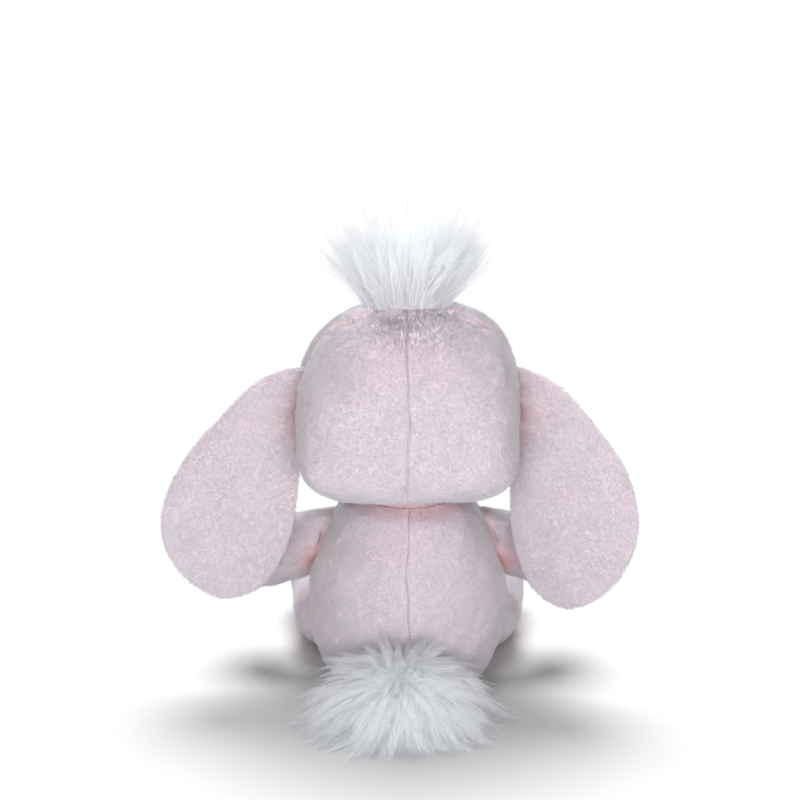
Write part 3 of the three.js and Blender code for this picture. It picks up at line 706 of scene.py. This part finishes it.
ear_seam_at = (0, EAR_SEAM_Y, HEAD_CENTRE[2])
ear_seam_back = np.array([0, np.cos(EAR_SEAM_LEAN), np.sin(EAR_SEAM_LEAN)])
cheek_seam_at = (0, -HEAD_SIZE[1] / 2, HEAD_CENTRE[2] - CHEEK_SEAM_DROP)
cheek_seam_up = np.array([0, -np.sin(CHEEK_SEAM_SLOPE), np.cos(CHEEK_SEAM_SLOPE)])
whole_head = head_form()


def head_nap(points):
    """The head's nap lies back from the face and down."""
    away = points - HEAD_CENTRE
    return np.stack([away[:, 0] * 0.02, 0.35 + 0 * away[:, 1], -0.9 + 0 * away[:, 2]], 1)


def seam_bow(points):
    """The ear-to-ear seam bows back on both sides of the tuft."""
    across = np.abs(points[:, 0])
    bow = 10.5 * np.exp(-(((across - 25) / 9) ** 2)) * ramp((points[:, 2] - 118) / 16)
    return (2 + bow + 3 * (across / 45) ** 2)[:, None] * [0, 1, 0]


def head_split_pile_and_shade(points):
    """Pinker painted shade in the creases along the ears' roots and at the neck, where the pile also parts,
    and painted shade over the crown beyond its seam.
    """
    up, along = (points[:, 2] - 121) / 12, (points[:, 1] - 5) / 3
    neck = np.exp(-(((points[:, 2] - 84) / 4) ** 2))
    # Painted shade over a band of the crown beyond the ear-to-ear seam.
    beyond = (points - ear_seam_at - seam_bow(points)) @ ear_seam_back
    crown = ramp(-beyond) * np.exp(beyond / 7) * ramp((points[:, 2] - 130) / 10)
    return 0.6 * np.exp(-(up**2 + along**2)) * (np.abs(points[:, 0]) > 35) + 0.3 * neck + 0.22 * crown


def head_panel(name, seams, material, slot, seed, **nap):
    points, faces = whole_head
    points, faces = cut_at(points - seam_bow(points), faces, seams)
    inward = head_inward(points)
    sunk = drawn_in(points, seams, inward, 1.9, 2.2)
    points = seam_wander(soft_dents(sunk + seam_bow(points), inward))
    plush_panel(name, (points, faces), "head", head_nap, material, slot, head_split_pile_and_shade, seed, **nap)


back_of_head = (ear_seam_at, ear_seam_back)
front_of_head = (ear_seam_at, -ear_seam_back)
head_panel("head_back_left", [(middle, LEFTWARDS), back_of_head], pink_plush, "pink_plush", 41)
head_panel("head_back_right", [(middle, RIGHTWARDS), back_of_head], pink_plush, "pink_plush", 42)
face_seams = [front_of_head, (cheek_seam_at, cheek_seam_up)]
head_panel("forehead_panel", face_seams, pink_plush, "pink_plush", 43)
for cheek, away, seed in (("cheek_left", LEFTWARDS, 44), ("cheek_right", RIGHTWARDS, 45)):
    cheek_seams = [(middle, away), front_of_head, (cheek_seam_at, -cheek_seam_up)]
    head_panel(cheek, cheek_seams, white_plush, "white_plush", seed, per_mm2=6.5)


# ---------------------------------------------------------------------------------------------------------
# Inside the head and the face: fibre stuffing, two black safety eyes whose stems go through the cloth into
# plastic washers, a satin-stitched nose and a mouth line of thread. All are fixed to the head's cloth.

EYE_AT = np.array([21.0, 126.7])  # across and up
EYE_LOOK = np.array([0.26, -0.965, 0.01])  # the way the left eye looks
EYE_SIDE = [  # height above the cloth and radius, from the stem's end to the dome
    (-8.0, 0.02), (-8.0, 1.2), (-7.6, 1.5), (0.2, 1.5), (0.3, 3.9), (0.5, 4.4), (1.0, 4.5), (1.8, 4.35),
    (2.9, 3.7), (3.8, 2.6), (4.3, 1.3), (4.4, 0.02),
]
WASHER_SIDE = [  # the same for the washer on the stem, inside the head
    (-6.4, 1.75), (-6.4, 5.2), (-6.0, 5.7), (-5.5, 5.2), (-5.2, 3.2), (-4.6, 2.6), (-4.6, 1.75), (-6.4, 1.75),
]
NOSE_FOOT = 112.7  # height of its lower point
NOSE_MIDDLE = 5.0  # above its lower point
NOSE_RISE = 2.7
NOSE_EDGE = [  # across and up from its lower point
    (0, 0), (-2.4, 1.3), (-5.0, 5.0), (-5.2, 7.4), (-3, 8.2), (0, 8.3), (3, 8.2), (5.2, 7.4), (5.0, 5.0),
    (2.4, 1.3),
]
STITCH_STEP = 0.55  # from one satin stitch of the nose to the next
MOUTH = [  # across and up
    [(0, 113.4), (0.1, 110.5), (0, 107.6)],
    [(0, 107.7), (-2.2, 105.2), (-5.2, 104.6), (-7.8, 106.2)],
    [(0, 107.7), (2.2, 105.2), (5.2, 104.6), (7.8, 106.2)],
]

eye_plastic = plain("eye_plastic", (0.012, 0.009, 0.009), 0.12, grain=40.0, depth=0.00002, Coat_Weight=0.6)
washer_plastic = plain("washer_plastic", (0.88, 0.88, 0.86), 0.45)
nose_thread = plain("nose_felt", (0.62, 0.27, 0.33), 0.55, grain=900.0)
mouth_thread = plain("mouth_thread", (0.50, 0.22, 0.27), 0.6, grain=2500.0)


def on_face(across, up, out=0.0):
    """The place on the front of the head at that distance across and height."""
    across, up = np.atleast_1d(np.asarray(across, float)), np.atleast_1d(np.asarray(up, float))
    near, far = np.zeros(len(across)), np.full(len(across), 60.0)
    for _ in range(30):
        half = (near + far) / 2
        points = np.stack([across, -half, up - HEAD_CENTRE[2]], 1)
        inside = np.linalg.norm(points, axis=1) < head_reach(unit(points))[:, 0]
        near, far = np.where(inside, half, near), np.where(inside, far, half)
    points = np.stack([across, -near, up], 1)
    return points + unit(points - HEAD_CENTRE) * out


def facing(points, at, way):
    """Stands a form's axis along a direction."""
    turn = np.array(Vector((0, 0, 1)).rotation_difference(Vector(way)).to_matrix())
    return points @ turn.T + at


points, faces = head_form(30, inset=3.0)
for s in (1, -1):
    away = (points - on_face(EYE_AT[0] * s, EYE_AT[1])) / [9, 14, 9]
    points = points + np.array([0, 7.5, 0]) * np.exp(-(away**4).sum(1, keepdims=True))
points = points - head_inward(points) * (0.3 * drift(points, 13, 81))[:, None]
inner_piece("head_stuffing", (points, faces), fibre, "head")

for side, s in (("left", 1), ("right", -1)):
    at = on_face(EYE_AT[0] * s, EYE_AT[1])[0]
    way = unit(EYE_LOOK * [s, 1, 1])
    points, faces = lathe(EYE_SIDE, 48)
    inner_piece("eye_" + side, (facing(points, at, way), faces), eye_plastic, "head")
    points, faces = lathe(WASHER_SIDE, 48)
    washer = facing(points, at, way), faces
    inner_piece("eye_washer_" + side, washer, washer_plastic, "head")


def nose_skin():
    """A plump nose, from rings between its middle and its edge, with the ridges of its stitches."""
    rings, rounds = 26, 120
    edge = smooth_line(NOSE_EDGE, rounds, closed=True)
    middle_at = np.array([0, NOSE_MIDDLE])
    out = np.sin(np.linspace(0.01, np.pi / 2, rings))[:, None, None]
    flat = middle_at + out * (edge - middle_at)
    across, up = flat[:, :, 0].ravel(), flat[:, :, 1].ravel() + NOSE_FOOT
    reach = np.repeat(out.ravel(), rounds)
    rise = NOSE_RISE * np.sqrt(1 - reach**2.2)
    stitch_ridges = 0.16 * np.abs(np.sin(across * np.pi / STITCH_STEP)) * (1 - reach**8)
    points = on_face(across, up)
    points[:, 1] -= rise + stitch_ridges - 0.1
    return points, grid_faces(rings, rounds)[:, ::-1]


inner_piece("nose", nose_skin(), nose_thread, "head")

for i, line in enumerate(MOUTH):
    flat = smooth_line(line, 24)
    skin = thread_tube(on_face(flat[:, 0], flat[:, 1], 1.5), 0.9, steps=60)
    inner_piece("mouth_thread_%d" % (i + 1), skin, mouth_thread, "head", stands_for=False)


# ---------------------------------------------------------------------------------------------------------
# Tuft: long white faux fur on an oval knitted backing that is sewn to the crown. The strands hold together in
# pointed locks that fan out sideways, with single stray hairs between them.

TUFT_MIDDLE = np.array([0, -11.5])
TUFT_REACH = np.array([17.0, 9.5])
TUFT_LENGTH = 50
TUFT_TOP = 209  # where the longest strands begin to bend over
TUFT_PIECES, TUFT_LOCKS, TUFT_LOCK_STRANDS, TUFT_STRAYS = 3, 80, 52, 1500
BACKING_SIDE = [(-1.6, 0.05), (-1.6, 15.6), (-0.6, 16.6), (0.9, 16.2), (1.2, 14), (1.3, 0.05)]
STRAND_WIDTH = 0.15
STRAND_SHAPE = np.array([1.0, 0.95, 0.85, 0.7, 0.45])  # its width from root to tip
STRAND_POINTS = 6


def fur_material():
    """White fibres. A faint glow stands in for the light that passes through such fine ones."""
    material = plain("long_fur", (0.94, 0.96, 1.0), 0.45, grain=300.0, depth=0.0)
    surface = material.node_tree.nodes["Principled BSDF"]
    surface.inputs["Specular IOR Level"].default_value = 0.3
    surface.inputs["Sheen Weight"].default_value = 0.6
    surface.inputs["Sheen Roughness"].default_value = 0.4
    surface.inputs["Emission Color"].default_value = (0.9, 0.94, 1.0, 1)
    surface.inputs["Emission Strength"].default_value = 0.06
    return material


long_fur = fur_material()


def strand_piece(name, lines, middle_at, rng):
    """Tapered three-sided closed strands, each along its own line of points. They are shaded as a soft mass
    round its middle."""
    n, steps = lines.shape[:2]
    way = unit(np.gradient(lines, axis=1))
    side = unit(np.cross(way, rng.normal(size=(n, 1, 3))))
    other = np.cross(way, side)
    wide = STRAND_WIDTH * rng.uniform(0.6, 1.25, n)[:, None, None] / 2
    corners = np.empty((n, steps - 1, 3, 3))
    for i in range(3):
        out = side * np.cos(i * 2 * np.pi / 3) + other * np.sin(i * 2 * np.pi / 3)
        corners[:, :, i] = lines[:, :-1] + (out * wide)[:, :-1] * STRAND_SHAPE[None, :, None]
    points = np.concatenate([corners.reshape(n, -1, 3), lines[:, -1:]], 1)
    points[:, :, 2] = np.maximum(points[:, :, 2], FLOOR_GAP)
    round_out = np.concatenate([(corners - lines[:, :-1, None]).reshape(n, -1, 3), 0 * lines[:, -1:]], 1)
    shading = unit(unit(points - middle_at) + 0.8 * unit(round_out))
    each = []
    for k in range(steps - 2):
        for i in range(3):
            a, b = 3 * k + i, 3 * k + (i + 1) % 3
            each += [(a, b, b + 3), (a, b + 3, a + 3)]
    last = 3 * (steps - 2)
    each += [(last + i, last + (i + 1) % 3, last + 3) for i in range(3)]
    each.append((0, 2, 1))
    faces = (np.arange(n)[:, None, None] * points.shape[1] + np.array(each)).reshape(-1, 3)
    piece = mesh_piece(name, points.reshape(-1, 3), faces, long_fur)
    piece.data.normals_split_custom_set_from_vertices(shading.reshape(-1, 3).astype(np.float32).tolist())
    return piece


def locks(roots, ways, lengths, bends, per_lock, root_spread, tip_spread, rng):
    """Strand lines for pointed locks: each lock's strands start apart and come together towards its tip."""
    lock = np.repeat(np.arange(len(roots)), per_lock)
    n = len(lock)
    t = np.linspace(0, 1, STRAND_POINTS)[None, :, None]
    start = rng.normal(0, 1, (n, 1, 3)) * root_spread
    end = rng.normal(0, 1, (n, 1, 3)) * tip_spread
    belly = rng.normal(0, 1, (n, 1, 3)) * root_spread * 0.5
    long = (lengths[lock] * rng.uniform(0.55, 1.05, n) ** 0.7)[:, None, None]
    line = roots[lock][:, None] + ways[lock][:, None] * long * t + bends[lock][:, None] * long * t**2
    line += start * (1 - t) ** 0.8 + end * t + belly * np.sin(t * np.pi)
    return line


def crown_height(x, y):
    """The top of the head above a place."""
    level = (np.abs(x) / (HEAD_SIZE[0] / 2)) ** SQUARE_TOP + (np.abs(y) / (HEAD_SIZE[1] / 2)) ** SQUARE_TOP
    return HEAD_CENTRE[2] + HEAD_SIZE[2] / 2 * np.clip(1 - level, 0, 1) ** (1 / SQUARE_TOP)


points, faces = lathe(BACKING_SIDE, 64, TUFT_REACH[1] / TUFT_REACH[0])
points[:, 1] += TUFT_MIDDLE[1]
points[:, 2] += crown_height(points[:, 0], points[:, 1])
inner_piece("tuft_backing", (points, faces), white_plush, "head")

# Such fine hair holds back hardly any of the high light, which reaches the crown through it.
light_passes = bpy.data.collections.new("light_passes")
for i in range(TUFT_PIECES):
    rng = np.random.default_rng(90 + i)
    turn, reach = rng.uniform(0, 2 * np.pi, TUFT_LOCKS), np.sqrt(rng.random(TUFT_LOCKS))
    base = np.stack([np.cos(turn), np.sin(turn)], 1) * reach[:, None]
    fan = np.radians(24 * base[:, 0] + rng.normal(0, 8, TUFT_LOCKS))
    forth = np.radians(20 * base[:, 1] + rng.normal(0, 7, TUFT_LOCKS))
    ways = unit(np.stack([np.tan(fan), np.tan(forth), np.ones(TUFT_LOCKS)], 1))
    at = base * TUFT_REACH * 0.95 + TUFT_MIDDLE
    roots = np.stack([at[:, 0], at[:, 1], crown_height(at[:, 0], at[:, 1]) + 0.6], 1)
    long = TUFT_LENGTH * (1 - 0.2 * np.abs(base[:, 0])) * rng.uniform(0.55, 1.0, TUFT_LOCKS)
    outwards = np.stack([0.13 * base[:, 0], 0.1 * base[:, 1], -0.05 * np.abs(base[:, 0])], 1)
    bends = rng.normal(0, 0.07, (TUFT_LOCKS, 3)) + outwards
    lines = locks(roots, ways, long, bends, TUFT_LOCK_STRANDS, 1.3, 0.5, rng)
    stray = rng.choice(TUFT_LOCKS, TUFT_STRAYS)
    loose = unit(ways[stray] + rng.normal(0, 1, (TUFT_STRAYS, 3)) * [0.26, 0.16, 0.05])
    strays = locks(roots[stray], loose, long[stray] * 1.03, bends[stray], 1, 1.4, 1.6, rng)
    lines = np.concatenate([lines, strays])
    lines[:, :, 2] = np.minimum(lines[:, :, 2], TUFT_TOP + 0.05 * lines[:, :, 2])
    piece = strand_piece("hair_tuft_%d" % (i + 1), lines, [0, TUFT_MIDDLE[1] - 4, 185], rng)
    if i == 0:
        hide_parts("hair_tuft")
    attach(piece, "head")
    light_passes.objects.link(piece)
for hair in light_passes.collection_objects:
    hair.light_linking.link_state = "EXCLUDE"
far_light.light_linking.blocker_collection = light_passes


# ---------------------------------------------------------------------------------------------------------
# Ears: each a pink back and a white lining, sewn right sides together, turned, lightly filled at the rim and
# gathered into the side of the head. The left one hangs straight and the right one a little further back.

EAR_ROOT = np.array([45.5, 3.5, 125.5])
EAR_CUT = [  # the sewn edge, outwards and upwards from the middle of the root
    (-4.5, 15), (15, 11), (34, -7), (49, -25), (58.6, -46), (58, -62), (49.6, -76), (36, -84.6),
    (22.4, -82.4), (11.5, -73), (4.4, -57), (1.6, -40), (-1, -17), (-3.5, 0),
]
EAR_MIDDLE = np.array([26, -40])
EAR_LEAN = 5
EAR_HANG = {"left": (1, 3, 0), "right": (-1, 18, 4)}  # side, degrees swung back, degrees tipped in
EAR_FULLER = {"left": (0.2, 0.8), "right": (3.4, 3.6)}  # how much fuller at the top and narrower at the tip
EAR_CROWN = 3.4
ROOT_GATHERS = 11.0  # millimetres from fold to fold
PINCH = -3.5  # the middle of the gathers, above the middle of the root


def turned(points, axis, degrees):
    c, s = np.cos(np.radians(degrees)), np.sin(np.radians(degrees))
    i, j = {"x": (1, 2), "y": (2, 0), "z": (0, 1)}[axis]
    made = points.copy()
    made[:, i] = points[:, i] * c - points[:, j] * s
    made[:, j] = points[:, i] * s + points[:, j] * c
    return made


def ear_flat(fuller, narrower, rounds=240, rings=34):
    """The ear as cut: rings from its sewn edge in to its middle, with each point's share of the way out."""
    edge = smooth_line(EAR_CUT, rounds, closed=True)
    up = edge[:, 1].copy()
    edge[:, 0] += fuller * np.exp(-(((up + 12) / 22) ** 2)) * ramp(edge[:, 0] / 30)
    edge[:, 0] -= narrower * ramp((-up - 32) / 30) * ramp(edge[:, 0] / 50)
    out = np.append(np.cos(np.linspace(0, np.pi / 2, rings))[:-1], 0)[:, None, None]
    flat = EAR_MIDDLE + out * (edge - EAR_MIDDLE)
    faces = np.minimum(grid_faces(rings, rounds), (rings - 1) * rounds)
    faces = faces[(faces[:, 0] != faces[:, 1]) & (faces[:, 1] != faces[:, 2])]
    return flat.reshape(-1, 2), np.broadcast_to(out[:, :, 0], (rings, rounds)).ravel(), faces


def ear_skin(side, face):
    """One layer of the ear. face is 1 for the back and -1 for the lining."""
    s, back_swing, tip_in = EAR_HANG[side]
    flat, out, faces = ear_flat(*EAR_FULLER[side])
    from_root = np.clip(flat[:, 0], 0, None)
    crown = EAR_CROWN * (0.35 + 0.65 * (1 - np.exp(-from_root / 7))) * (1 - out**2.4) ** 0.55
    seed = 51 if side == "left" else 52
    points = np.stack([flat[:, 0], face * (crown + 0.2), flat[:, 1]], 1)
    up = flat[:, 1] - PINCH + 0.3 * s
    fold = -np.cos(up * 2 * np.pi / ROOT_GATHERS) * np.exp(-from_root / 9 - (up / 15) ** 2) * (1 - out**6)
    wave = 1.1 * drift(points * [1, 0, 1], 60, seed) + 0.35 * drift(points * [1, 0, 1], 22, seed + 4)
    points[:, 1] += face * 1.5 * fold + wave * np.clip(from_root / 14, 0, 1)
    points = turned(turned(turned(points, "x", EAR_LEAN), "y", tip_in), "z", back_swing)
    if face * s < 0:
        faces = faces[:, ::-1]
    return points * [s, 1, 1] + EAR_ROOT * [s, 1, 1], faces


def add_ear(side):
    s = EAR_HANG[side][0]
    hang = nap_along((0.42 * s, 0.1, -0.9))

    # Pinker painted shade in the crease at the ear's root, where the pile also parts at the gathers.
    def split_pile_and_shade_at(points):
        away = np.abs(points[:, 0] * s - EAR_ROOT[0] + 1)
        up = points[:, 2] - EAR_ROOT[2] - PINCH
        return 0.8 * np.exp(-away / 4 - (up / 8) ** 2) + 0.35 * np.exp(-away / 2.5 - (up / 20) ** 4)

    back, lining = ear_skin(side, 1), ear_skin(side, -1)
    pieces = plush_panel(
        "ear_back_" + side, back, None, hang, pink_plush, "pink_plush", split_pile_and_shade_at, 53, lean=44
    )
    pieces += plush_panel(
        "ear_lining_" + side, lining, None, hang, white_plush, "white_plush", split_pile_and_shade_at, 54, lean=44
    )
    for piece in pieces:
        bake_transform(piece)


add_ear("left")
add_ear("right")


# ---------------------------------------------------------------------------------------------------------
# Arms: a pink plush tube, closed round the paw, stuffed and sewn to the side of the body, where the cloth is
# pinched flat.

SHOULDER = np.array([29, -9, 60.5])
ARM_DROP, ARM_FORWARD = np.radians(20), np.radians(22)
ARM_SIDE = [  # distance from the shoulder and radius
    (-18, 5), (-12, 9), (-5, 11.8), (5, 13), (16, 12.8), (28, 13.6), (38, 14.6), (45, 13.6), (50, 10.6),
    (53, 6.6), (54.4, 0.1),
]
ARM_MIDDLE = 30  # distance from the shoulder
ARM_FOLDS = 5
PRESSED = 0.4  # how far a limb's cloth stays outside the body's
FILL_INSET = 2.4  # from a limb's outside to its stuffing


def outside_body(points, margin):
    """Points that would lie inside the body come out to its surface. Also how far outside each one was."""
    radius = body_radius(points[:, 2]) + margin
    level = np.hypot(points[:, 0], points[:, 1] / BODY_FLAT)
    grow = np.where(level < radius, radius / np.maximum(level, 1), 1.0)
    return points * np.stack([grow, grow, np.ones_like(grow)], 1), level - radius


def limb_form(start, way, side, rounds=100, steps=90):
    """Rings round a straight limb: its points, the distance along it and the angle round it."""
    way = np.array(way, float)
    across = unit(np.cross(way, [0, 0, 1.0]))
    up = np.cross(across, way)
    line = smooth_line(side, steps)
    angle = np.linspace(0, 2 * np.pi, rounds, endpoint=False)
    ring = across * np.cos(angle)[:, None] + up * np.sin(angle)[:, None]
    points = start + line[:, :1, None] * way + line[:, 1:, None] * ring
    along = np.broadcast_to(line[:, :1], (steps, rounds))
    faces = grid_faces(steps, rounds)[:, ::-1]
    return points.reshape(-1, 3), faces, along.ravel(), np.tile(angle, steps)


def arm_way(s):
    level = np.cos(ARM_DROP)
    return np.array([s * level * np.cos(ARM_FORWARD), -level * np.sin(ARM_FORWARD), -np.sin(ARM_DROP)])


def thinner_arm(inset):
    """The arm's side curve, drawn in from its ends and its outside."""
    side = []
    for along, radius in ARM_SIDE:
        drawn = min(along + inset, ARM_MIDDLE) if along < ARM_MIDDLE else max(along - inset, ARM_MIDDLE)
        side.append((drawn, max(radius - inset, 0.05)))
    return side


def arm_skin(s, inset=0.0):
    shoulder, way = SHOULDER * [s, 1, 1], arm_way(s)
    points, faces, along, angle = limb_form(shoulder, way, thinner_arm(inset))
    pinch = np.exp(-np.clip(along - 5, 0, None) / 6) * (along < 40)
    fold = 1 - pinch * (0.06 + 0.08 * np.sin(ARM_FOLDS * angle + s))
    centre = shoulder + along[:, None] * way
    points = centre + (points - centre) * fold[:, None]
    points += unit(points - centre) * (0.4 * drift(points, 22, 61) + 0.14 * drift(points, 9, 62))[:, None]
    if inset:
        points = outside_body(points, PRESSED + inset)[0]
    return points, faces


def add_arm(side, s):
    shoulder, way = SHOULDER * [s, 1, 1], arm_way(s)

    # Painted shade in the armpit and where the arm lies against the body, where the pile also parts.
    def split_pile_and_shade_at(points):
        level = outside_body(points, PRESSED)[1]
        armpit = np.exp(-np.clip(level, 0, None) / 4 - ((points[:, 2] - 52) / 7) ** 2)
        return 0.9 * armpit + 0.25 * np.exp(-level / 4)

    name, cover, towards_paw = "arm_cover_" + side, arm_skin(s), nap_along(way)
    pieces = plush_panel(name, cover, None, towards_paw, pink_plush, "pink_plush", split_pile_and_shade_at, 63)
    name, fill = "arm_stuffing_" + side, arm_skin(s, FILL_INSET)
    pieces.append(inner_piece(name, fill, fibre, None))
    for piece in pieces:
        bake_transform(piece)


add_arm("left", 1)
add_arm("right", -1)


# ---------------------------------------------------------------------------------------------------------
# Legs: a pink plush cover from the hip to the upright foot, closed in front by an oval white sole, stuffed
# and sewn to the front corner of the body. They lie on the floor.

HIP = np.array([33, -30, 15.9])
LEG_SPLAY = np.radians(4)
LEG_SIDE = [  # distance from the hip and half width
    (-16, 3), (-13.5, 9), (-8, 13.6), (0, 16.1), (11, 16.5), (23, 16.5), (33, 16.6), (39, 16.3), (43, 15.2),
    (46, 13.5), (46.6, 12.9),
]
LEG_SEAM = 46.5  # distance from the hip to the sole's edge
LEG_FILL_END = [(48.2, 6), (48.4, 0.05)]
SOLE_SIDE = [(46.5, 13.0), (47.6, 12.5), (49.3, 11), (51, 8), (52, 4), (52.3, 0.05)]
FOOT_STARTS, FOOT_FULL = 16, 40
FOOT_GROW, FOOT_RISE = 0.3, 5.4  # how much taller the foot is than the leg, and how far its middle rises


def leg_way(s):
    return np.array([s * np.sin(LEG_SPLAY), -np.cos(LEG_SPLAY), 0])


def leg_skin(s, side, inset=0.0, steps=90):
    hip, way = HIP * [s, 1, 1], leg_way(s)
    points, faces, along, _ = limb_form(hip, way, side, steps=steps)
    foot = ramp((along - FOOT_STARTS) / (FOOT_FULL - FOOT_STARTS))
    points[:, 2] = HIP[2] + (points[:, 2] - HIP[2]) * (1 + FOOT_GROW * foot) + FOOT_RISE * foot
    lumps = 0.45 * drift(points, 24, 65) + 0.15 * drift(points, 10, 66)
    points += unit(points - hip - along[:, None] * way) * lumps[:, None]
    points = outside_body(points, PRESSED + inset)[0]
    least = FLOOR_GAP + 0.2 + inset
    low = np.clip((least + 2 - points[:, 2]) / 2, 0, 1)
    points[:, 2] = np.maximum(points[:, 2] + 0.5 * low**2, least)
    return points, faces


def thinner_leg():
    """The side curve of the leg's stuffing, closed at both ends."""
    side = []
    for along, radius in LEG_SIDE:
        drawn = along + FILL_INSET if along < 0 else along - 0.8 * (along > 40)
        side.append((drawn, max(radius - FILL_INSET, 0.05)))
    return [(side[0][0] - 0.2, 0.05), *side, *LEG_FILL_END]


def add_leg(side, s):
    hip, way = HIP * [s, 1, 1], leg_way(s)

    # Painted shade where the leg lies against the body, where the pile also parts, and the pile parting along
    # the sole's seam.
    def split_pile_and_shade_at(points):
        along = (points - hip) @ way
        level = outside_body(points, PRESSED)[1]
        return 0.6 * np.exp(-np.clip(level, 0, None) / 5) + 0.15 * np.exp(-((along - LEG_SEAM) ** 2))

    name, cover, towards_foot = "leg_cover_" + side, leg_skin(s, LEG_SIDE), nap_along(way + [0, 0, -0.4])
    pieces = plush_panel(name, cover, None, towards_foot, pink_plush, "pink_plush", split_pile_and_shade_at, 67)
    name, sole = "foot_sole_" + side, leg_skin(s, SOLE_SIDE, steps=30)
    pieces += plush_panel(name, sole, None, downwards, white_plush, "white_plush", split_pile_and_shade_at, 68)
    name, fill = "leg_stuffing_" + side, leg_skin(s, thinner_leg(), FILL_INSET)
    pieces.append(inner_piece(name, fill, fibre, None))
    for piece in pieces:
        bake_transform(piece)


add_leg("left", 1)
add_leg("right", -1)


# ---------------------------------------------------------------------------------------------------------
# Tail: a small stuffed ball sewn low on the back, covered in the same long white fur. Its locks stand out
# all round, droop and lie on the floor.

TAIL = np.array([3, 46.2, 13.0])
TAIL_BALL = 11.0
TAIL_LENGTH = 31
TAIL_PIECES, TAIL_LOCKS, TAIL_LOCK_STRANDS, TAIL_STRAYS = 5, 92, 54, 1300

half_turn = np.linspace(0, np.pi, 40)
ball_side = np.stack([-TAIL_BALL * np.cos(half_turn), np.maximum(TAIL_BALL * np.sin(half_turn), 0.05)], 1)
points, faces = lathe(ball_side)
ball = lumpy((points + TAIL, faces), 0.2, 75)
inner_piece("tail_core", ball, fibre, "tail")

for i in range(TAIL_PIECES):
    rng = np.random.default_rng(100 + i)
    ways = unit(rng.normal(size=(600, 3)) * [1.2, 1, 0.8] + [0.03, 0.5, 0.05])
    ways = ways[(ways[:, 1] > -0.6) & (ways[:, 2] > -0.55)][:TAIL_LOCKS]
    count = len(ways)
    roots = TAIL + ways * (TAIL_BALL - 1)
    sideways, upwards = np.abs(ways[:, 0]), np.clip(ways[:, 2], 0, 1)
    long = TAIL_LENGTH * rng.uniform(0.7, 1.1, count) * (0.92 + 0.33 * sideways - 0.28 * upwards)
    long *= 1 - 0.8 * np.clip(-ways[:, 1], 0, 1)
    bends = rng.normal(0, 0.07, (count, 3)) - np.array([0, 0, 1]) * (0.25 + 0.3 * sideways[:, None])
    lines = locks(roots, ways, long, bends, TAIL_LOCK_STRANDS, 1.3, 0.5, rng)
    stray = rng.choice(count, TAIL_STRAYS)
    loose = unit(ways[stray] + rng.normal(0, 0.18, (TAIL_STRAYS, 3)))
    strays = locks(roots[stray], loose, long[stray], bends[stray], 1, 1.3, 1.5, rng)
    lines = np.concatenate([lines, strays])
    lying = FLOOR_GAP + 0.4 + 2.4 * rng.random((len(lines), 1)) * np.linspace(0.2, 1, STRAND_POINTS)
    lines[:, :, 2] = np.where(lines[:, :, 2] < lying, lying + 0.06 * lines[:, :, 2], lines[:, :, 2])
    piece = strand_piece("tail_fur_%d" % (i + 1), lines, TAIL - [0, 4, 6], rng)
    if i == 0:
        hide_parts("tail_fur")
    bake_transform(piece)
